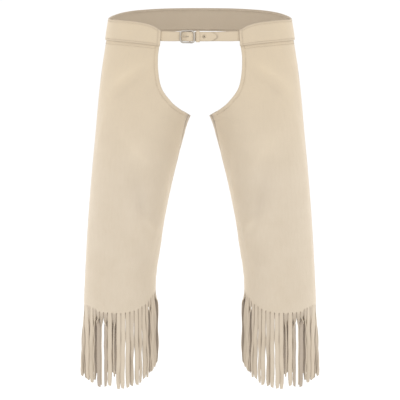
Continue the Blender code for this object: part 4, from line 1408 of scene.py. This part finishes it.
def bumped(tree, height, strength, distance, **under):
    """A surface direction tilted by a height, in metres, over another one if that is given."""
    sockets = {"Height": height, "Strength": strength, "Distance": distance, **under}
    return add_node(tree, "ShaderNodeBump", sockets, "Normal")


def new_material(name):
    """A named material's nodes and its shader."""
    made = bpy.data.materials.new(name)
    made.use_nodes = True
    return made.node_tree, made.node_tree.nodes["Principled BSDF"]


def make_suede(name, colour, colours, coarse):
    """Napped suede: a split hide, brushed on its outer side. The nap gives a dull soft surface with no
    gloss, a pale bloom where it is seen edge on, darker and lighter clouds where it has been stroked one way
    or the other, and a fine felt of fibres. The inner side is coarser, and darker partly as painted shade for
    the hollow inside of the form."""
    tree, shader = new_material(name)
    cut = add_node(tree, "ShaderNodeUVMap", {}, "UV", uv_map="cut")
    edge = add_node(tree, "ShaderNodeAttribute", {}, "Fac", attribute_name="edge")
    place = object_place(tree)
    # Clouds of stroked nap, 45 mm across, and short streaks along the leg, 5 mm by 25 mm
    clouds = noise(tree, place, 22.0, 3.0, 0.55)
    stretched = add_node(tree, "ShaderNodeMapping", {"Vector": cut, "Scale": (1.0, 0.2, 1.0)}, "Vector")
    streaks = noise(tree, stretched, 200.0, 2.0)
    # Fibres of the nap, drawn 1.1 mm apart so that they show, and pores of the hide, 3 mm apart
    fibres = noise(tree, place, 900.0 - 300 * coarse, 4.0, 0.7)
    pores = noise(tree, place, 330.0, 2.0)
    stroked = spread(tree, clouds, 0.35, 0.7, 0.22)
    some = combined(tree, "ADD", stroked, combined(tree, "MULTIPLY", streaks, 0.35))
    total = combined(tree, "ADD", some, combined(tree, "MULTIPLY", fibres, 0.45), use_clamp=True)
    # The hide is a little warmer and darker towards the waist
    level = add_node(tree, "ShaderNodeSeparateXYZ", {"Vector": place}, "Z")
    upper = spread(tree, level, -0.36, -0.02, 1 - coarse, interpolation_type="SMOOTHSTEP")
    tint = mixed(tree, total, mixed(tree, upper, colour, colours.tan), colours.nap_dark)
    # The last few millimetres at an edge are drawn darker, and above 0 the attribute also holds painted
    # shade and painted shadow. Below 0 it stands for painted light: painted highlights on the folds, and
    # painted light along the legs' inner sides, where they face each other
    worn = combined(tree, "MULTIPLY", edge, 0.28)
    felt = bumped(tree, fibres, 0.5 + 0.3 * coarse, 0.0004)
    fill(tree, shader, {
        "Base Color": mixed(tree, worn, tint, colours.soil_and_shade, clamp_factor=False),
        "Roughness": 0.95,
        "Specular IOR Level": 0.25,
        "Sheen Weight": 0.7,
        "Sheen Roughness": 0.38,
        "Sheen Tint": (*linear("FFF4E4"), 1.0),
        "Normal": bumped(tree, pores, 0.35, 0.0008, Normal=felt),
    })


def make_cut_edge(colours):
    """The raw edge of the hide, cut with a knife: paler than the nap, with the layers of its fibres as fine
    streaks along the edge and no bloom."""
    tree, shader = new_material("suede_cut_edge")
    fibres = noise(tree, object_place(tree), 1400.0, 3.0, 0.7)
    fill(tree, shader, {
        "Base Color": mixed(tree, fibres, colours.cut, colours.nap_dark),
        "Roughness": 0.9,
        "Specular IOR Level": 0.3,
        "Normal": bumped(tree, fibres, 0.5, 0.0003),
    })


def make_thread(colours):
    """Waxed polyester thread, twisted and pulled tight: a slight gloss from the wax, and painted shade in the
    grooves between its plies, drawn 0.5 mm apart."""
    tree, shader = new_material("waxed_thread")
    sockets = {"Vector": object_place(tree), "Scale": 320.0, "Distortion": 1.5, "Detail": 1.0}
    plies = add_node(tree, "ShaderNodeTexWave", sockets, "Fac", bands_direction="DIAGONAL")
    # Painted shade in the grooves between the plies
    groove = [0.75 * value for value in colours.thread]
    fill(tree, shader, {
        "Base Color": mixed(tree, plies, groove, colours.thread),
        "Roughness": 0.55,
        "IOR": 1.55,
        "Normal": bumped(tree, plies, 0.6, 0.0002),
    })


def make_metal(name, colour, colours, filmed):
    """Nickel-plated zinc, cast, tumbled and aged: a soft satin shine with a warm dark film left in the
    hollows, and fine tumbling marks 1 mm across. The tongue and the eyelet, rubbed by the suede, have lost
    most of their film."""
    tree, shader = new_material(name)
    place = object_place(tree)
    film = spread(tree, noise(tree, place, 240.0, 5.0, 0.6), 0.42, 0.68, filmed)
    marks = noise(tree, place, 1500.0, 2.0)
    satin = {"Value": marks, "To Min": 0.38, "To Max": 0.6}
    fill(tree, shader, {
        "Base Color": mixed(tree, film, colour, colours.tarnish),
        "Metallic": 1.0,
        "Roughness": add_node(tree, "ShaderNodeMapRange", satin, "Result"),
        "Normal": bumped(tree, marks, 0.25, 0.0002),
    })


# Stage

class CHAPS_OT_stage(bpy.types.Operator):
    """Sets out a plain pale floor, soft light and the camera"""

    bl_idname = "chaps.stage"
    bl_label = "Stage"

    def execute(self, context):
        scene = context.scene
        scene.view_settings.view_transform = "Standard"
        mesh = bpy.data.meshes.new("floor")
        corners = ((-1, -1), (1, -1), (1, 1), (-1, 1))
        mesh.from_pydata([(x * FLOOR_REACH, y * FLOOR_REACH, FLOOR_HEIGHT) for x, y in corners], [],
                         [(0, 1, 2, 3)])
        floor = bpy.data.objects.new("floor", mesh)
        scene.collection.objects.link(floor)
        tree, shader = new_material("pale_matt_floor")
        fill(tree, shader, {"Base Color": (*scene.chaps_colours.floor, 1.0), "Roughness": 0.9})
        mesh.materials.append(bpy.data.materials["pale_matt_floor"])

        world = bpy.data.worlds.new("pale_studio")
        world.use_nodes = True
        sky = world.node_tree.nodes["Background"]
        fill(world.node_tree, sky, {"Color": (1, 1, 1, 1), "Strength": SKY_STRENGTH})
        scene.world = world
        for name, (place, size, power) in LIGHTS.items():
            light = bpy.data.lights.new(name, "AREA")
            light.size = size
            light.energy = power
            lamp = bpy.data.objects.new(name, light)
            lamp.location = place
            lamp.rotation_euler = aim(place, LIGHT_TARGET)
            scene.collection.objects.link(lamp)
        camera = bpy.data.objects.new("camera", bpy.data.cameras.new("camera"))
        camera.data.lens = CAMERA_LENS
        camera.data.sensor_width = SENSOR
        camera.data.clip_end = CAMERA_REACH
        camera.location = CAMERA_PLACE
        camera.rotation_euler = aim(CAMERA_PLACE, CAMERA_TARGET)
        scene.collection.objects.link(camera)
        scene.camera = camera
        return {"FINISHED"}


def aim(place, target):
    """The turn that points a camera or a light from its place to a target."""
    return (Vector(target) - Vector(place)).to_track_quat("-Z", "Y").to_euler()


class CHAPS_PT_panel(bpy.types.Panel):
    """Sizes, colours and building steps of the chaps"""

    bl_idname = "CHAPS_PT_panel"
    bl_label = "Fringed chaps"
    bl_space_type = "VIEW_3D"
    bl_region_type = "UI"
    bl_category = "Chaps"

    def draw(self, context):
        layout = self.layout
        for group in (context.scene.chaps_sizes, context.scene.chaps_colours):
            column = layout.column(align=True)
            for name in group.__annotations__:
                column.prop(group, name)
        for operator in STEPS:
            layout.operator(operator.bl_idname)


STEPS = (CHAPS_OT_materials, CHAPS_OT_legs, CHAPS_OT_waistband, CHAPS_OT_fringe, CHAPS_OT_strap,
         CHAPS_OT_buckle, CHAPS_OT_stage)
CLASSES = (ChapsSizes, ChapsColours, *STEPS, CHAPS_PT_panel)


def register():
    """Registers the classes, and gives the scene the sizes and colours."""
    for made in CLASSES:
        bpy.utils.register_class(made)
    bpy.types.Scene.chaps_sizes = PointerProperty(type=ChapsSizes)
    bpy.types.Scene.chaps_colours = PointerProperty(type=ChapsColours)


def unregister():
    """Takes back what register does, in the opposite order."""
    del bpy.types.Scene.chaps_colours
    del bpy.types.Scene.chaps_sizes
    for made in reversed(CLASSES):
        bpy.utils.unregister_class(made)


def main():
    """Builds every piece in turn."""
    register()
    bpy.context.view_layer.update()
    bpy.ops.chaps.materials()
    bpy.ops.chaps.legs()
    bpy.ops.chaps.waistband()
    bpy.ops.chaps.fringe()
    bpy.ops.chaps.strap()
    bpy.ops.chaps.buckle()
    bpy.ops.chaps.stage()


if __name__ == "__main__":
    main()
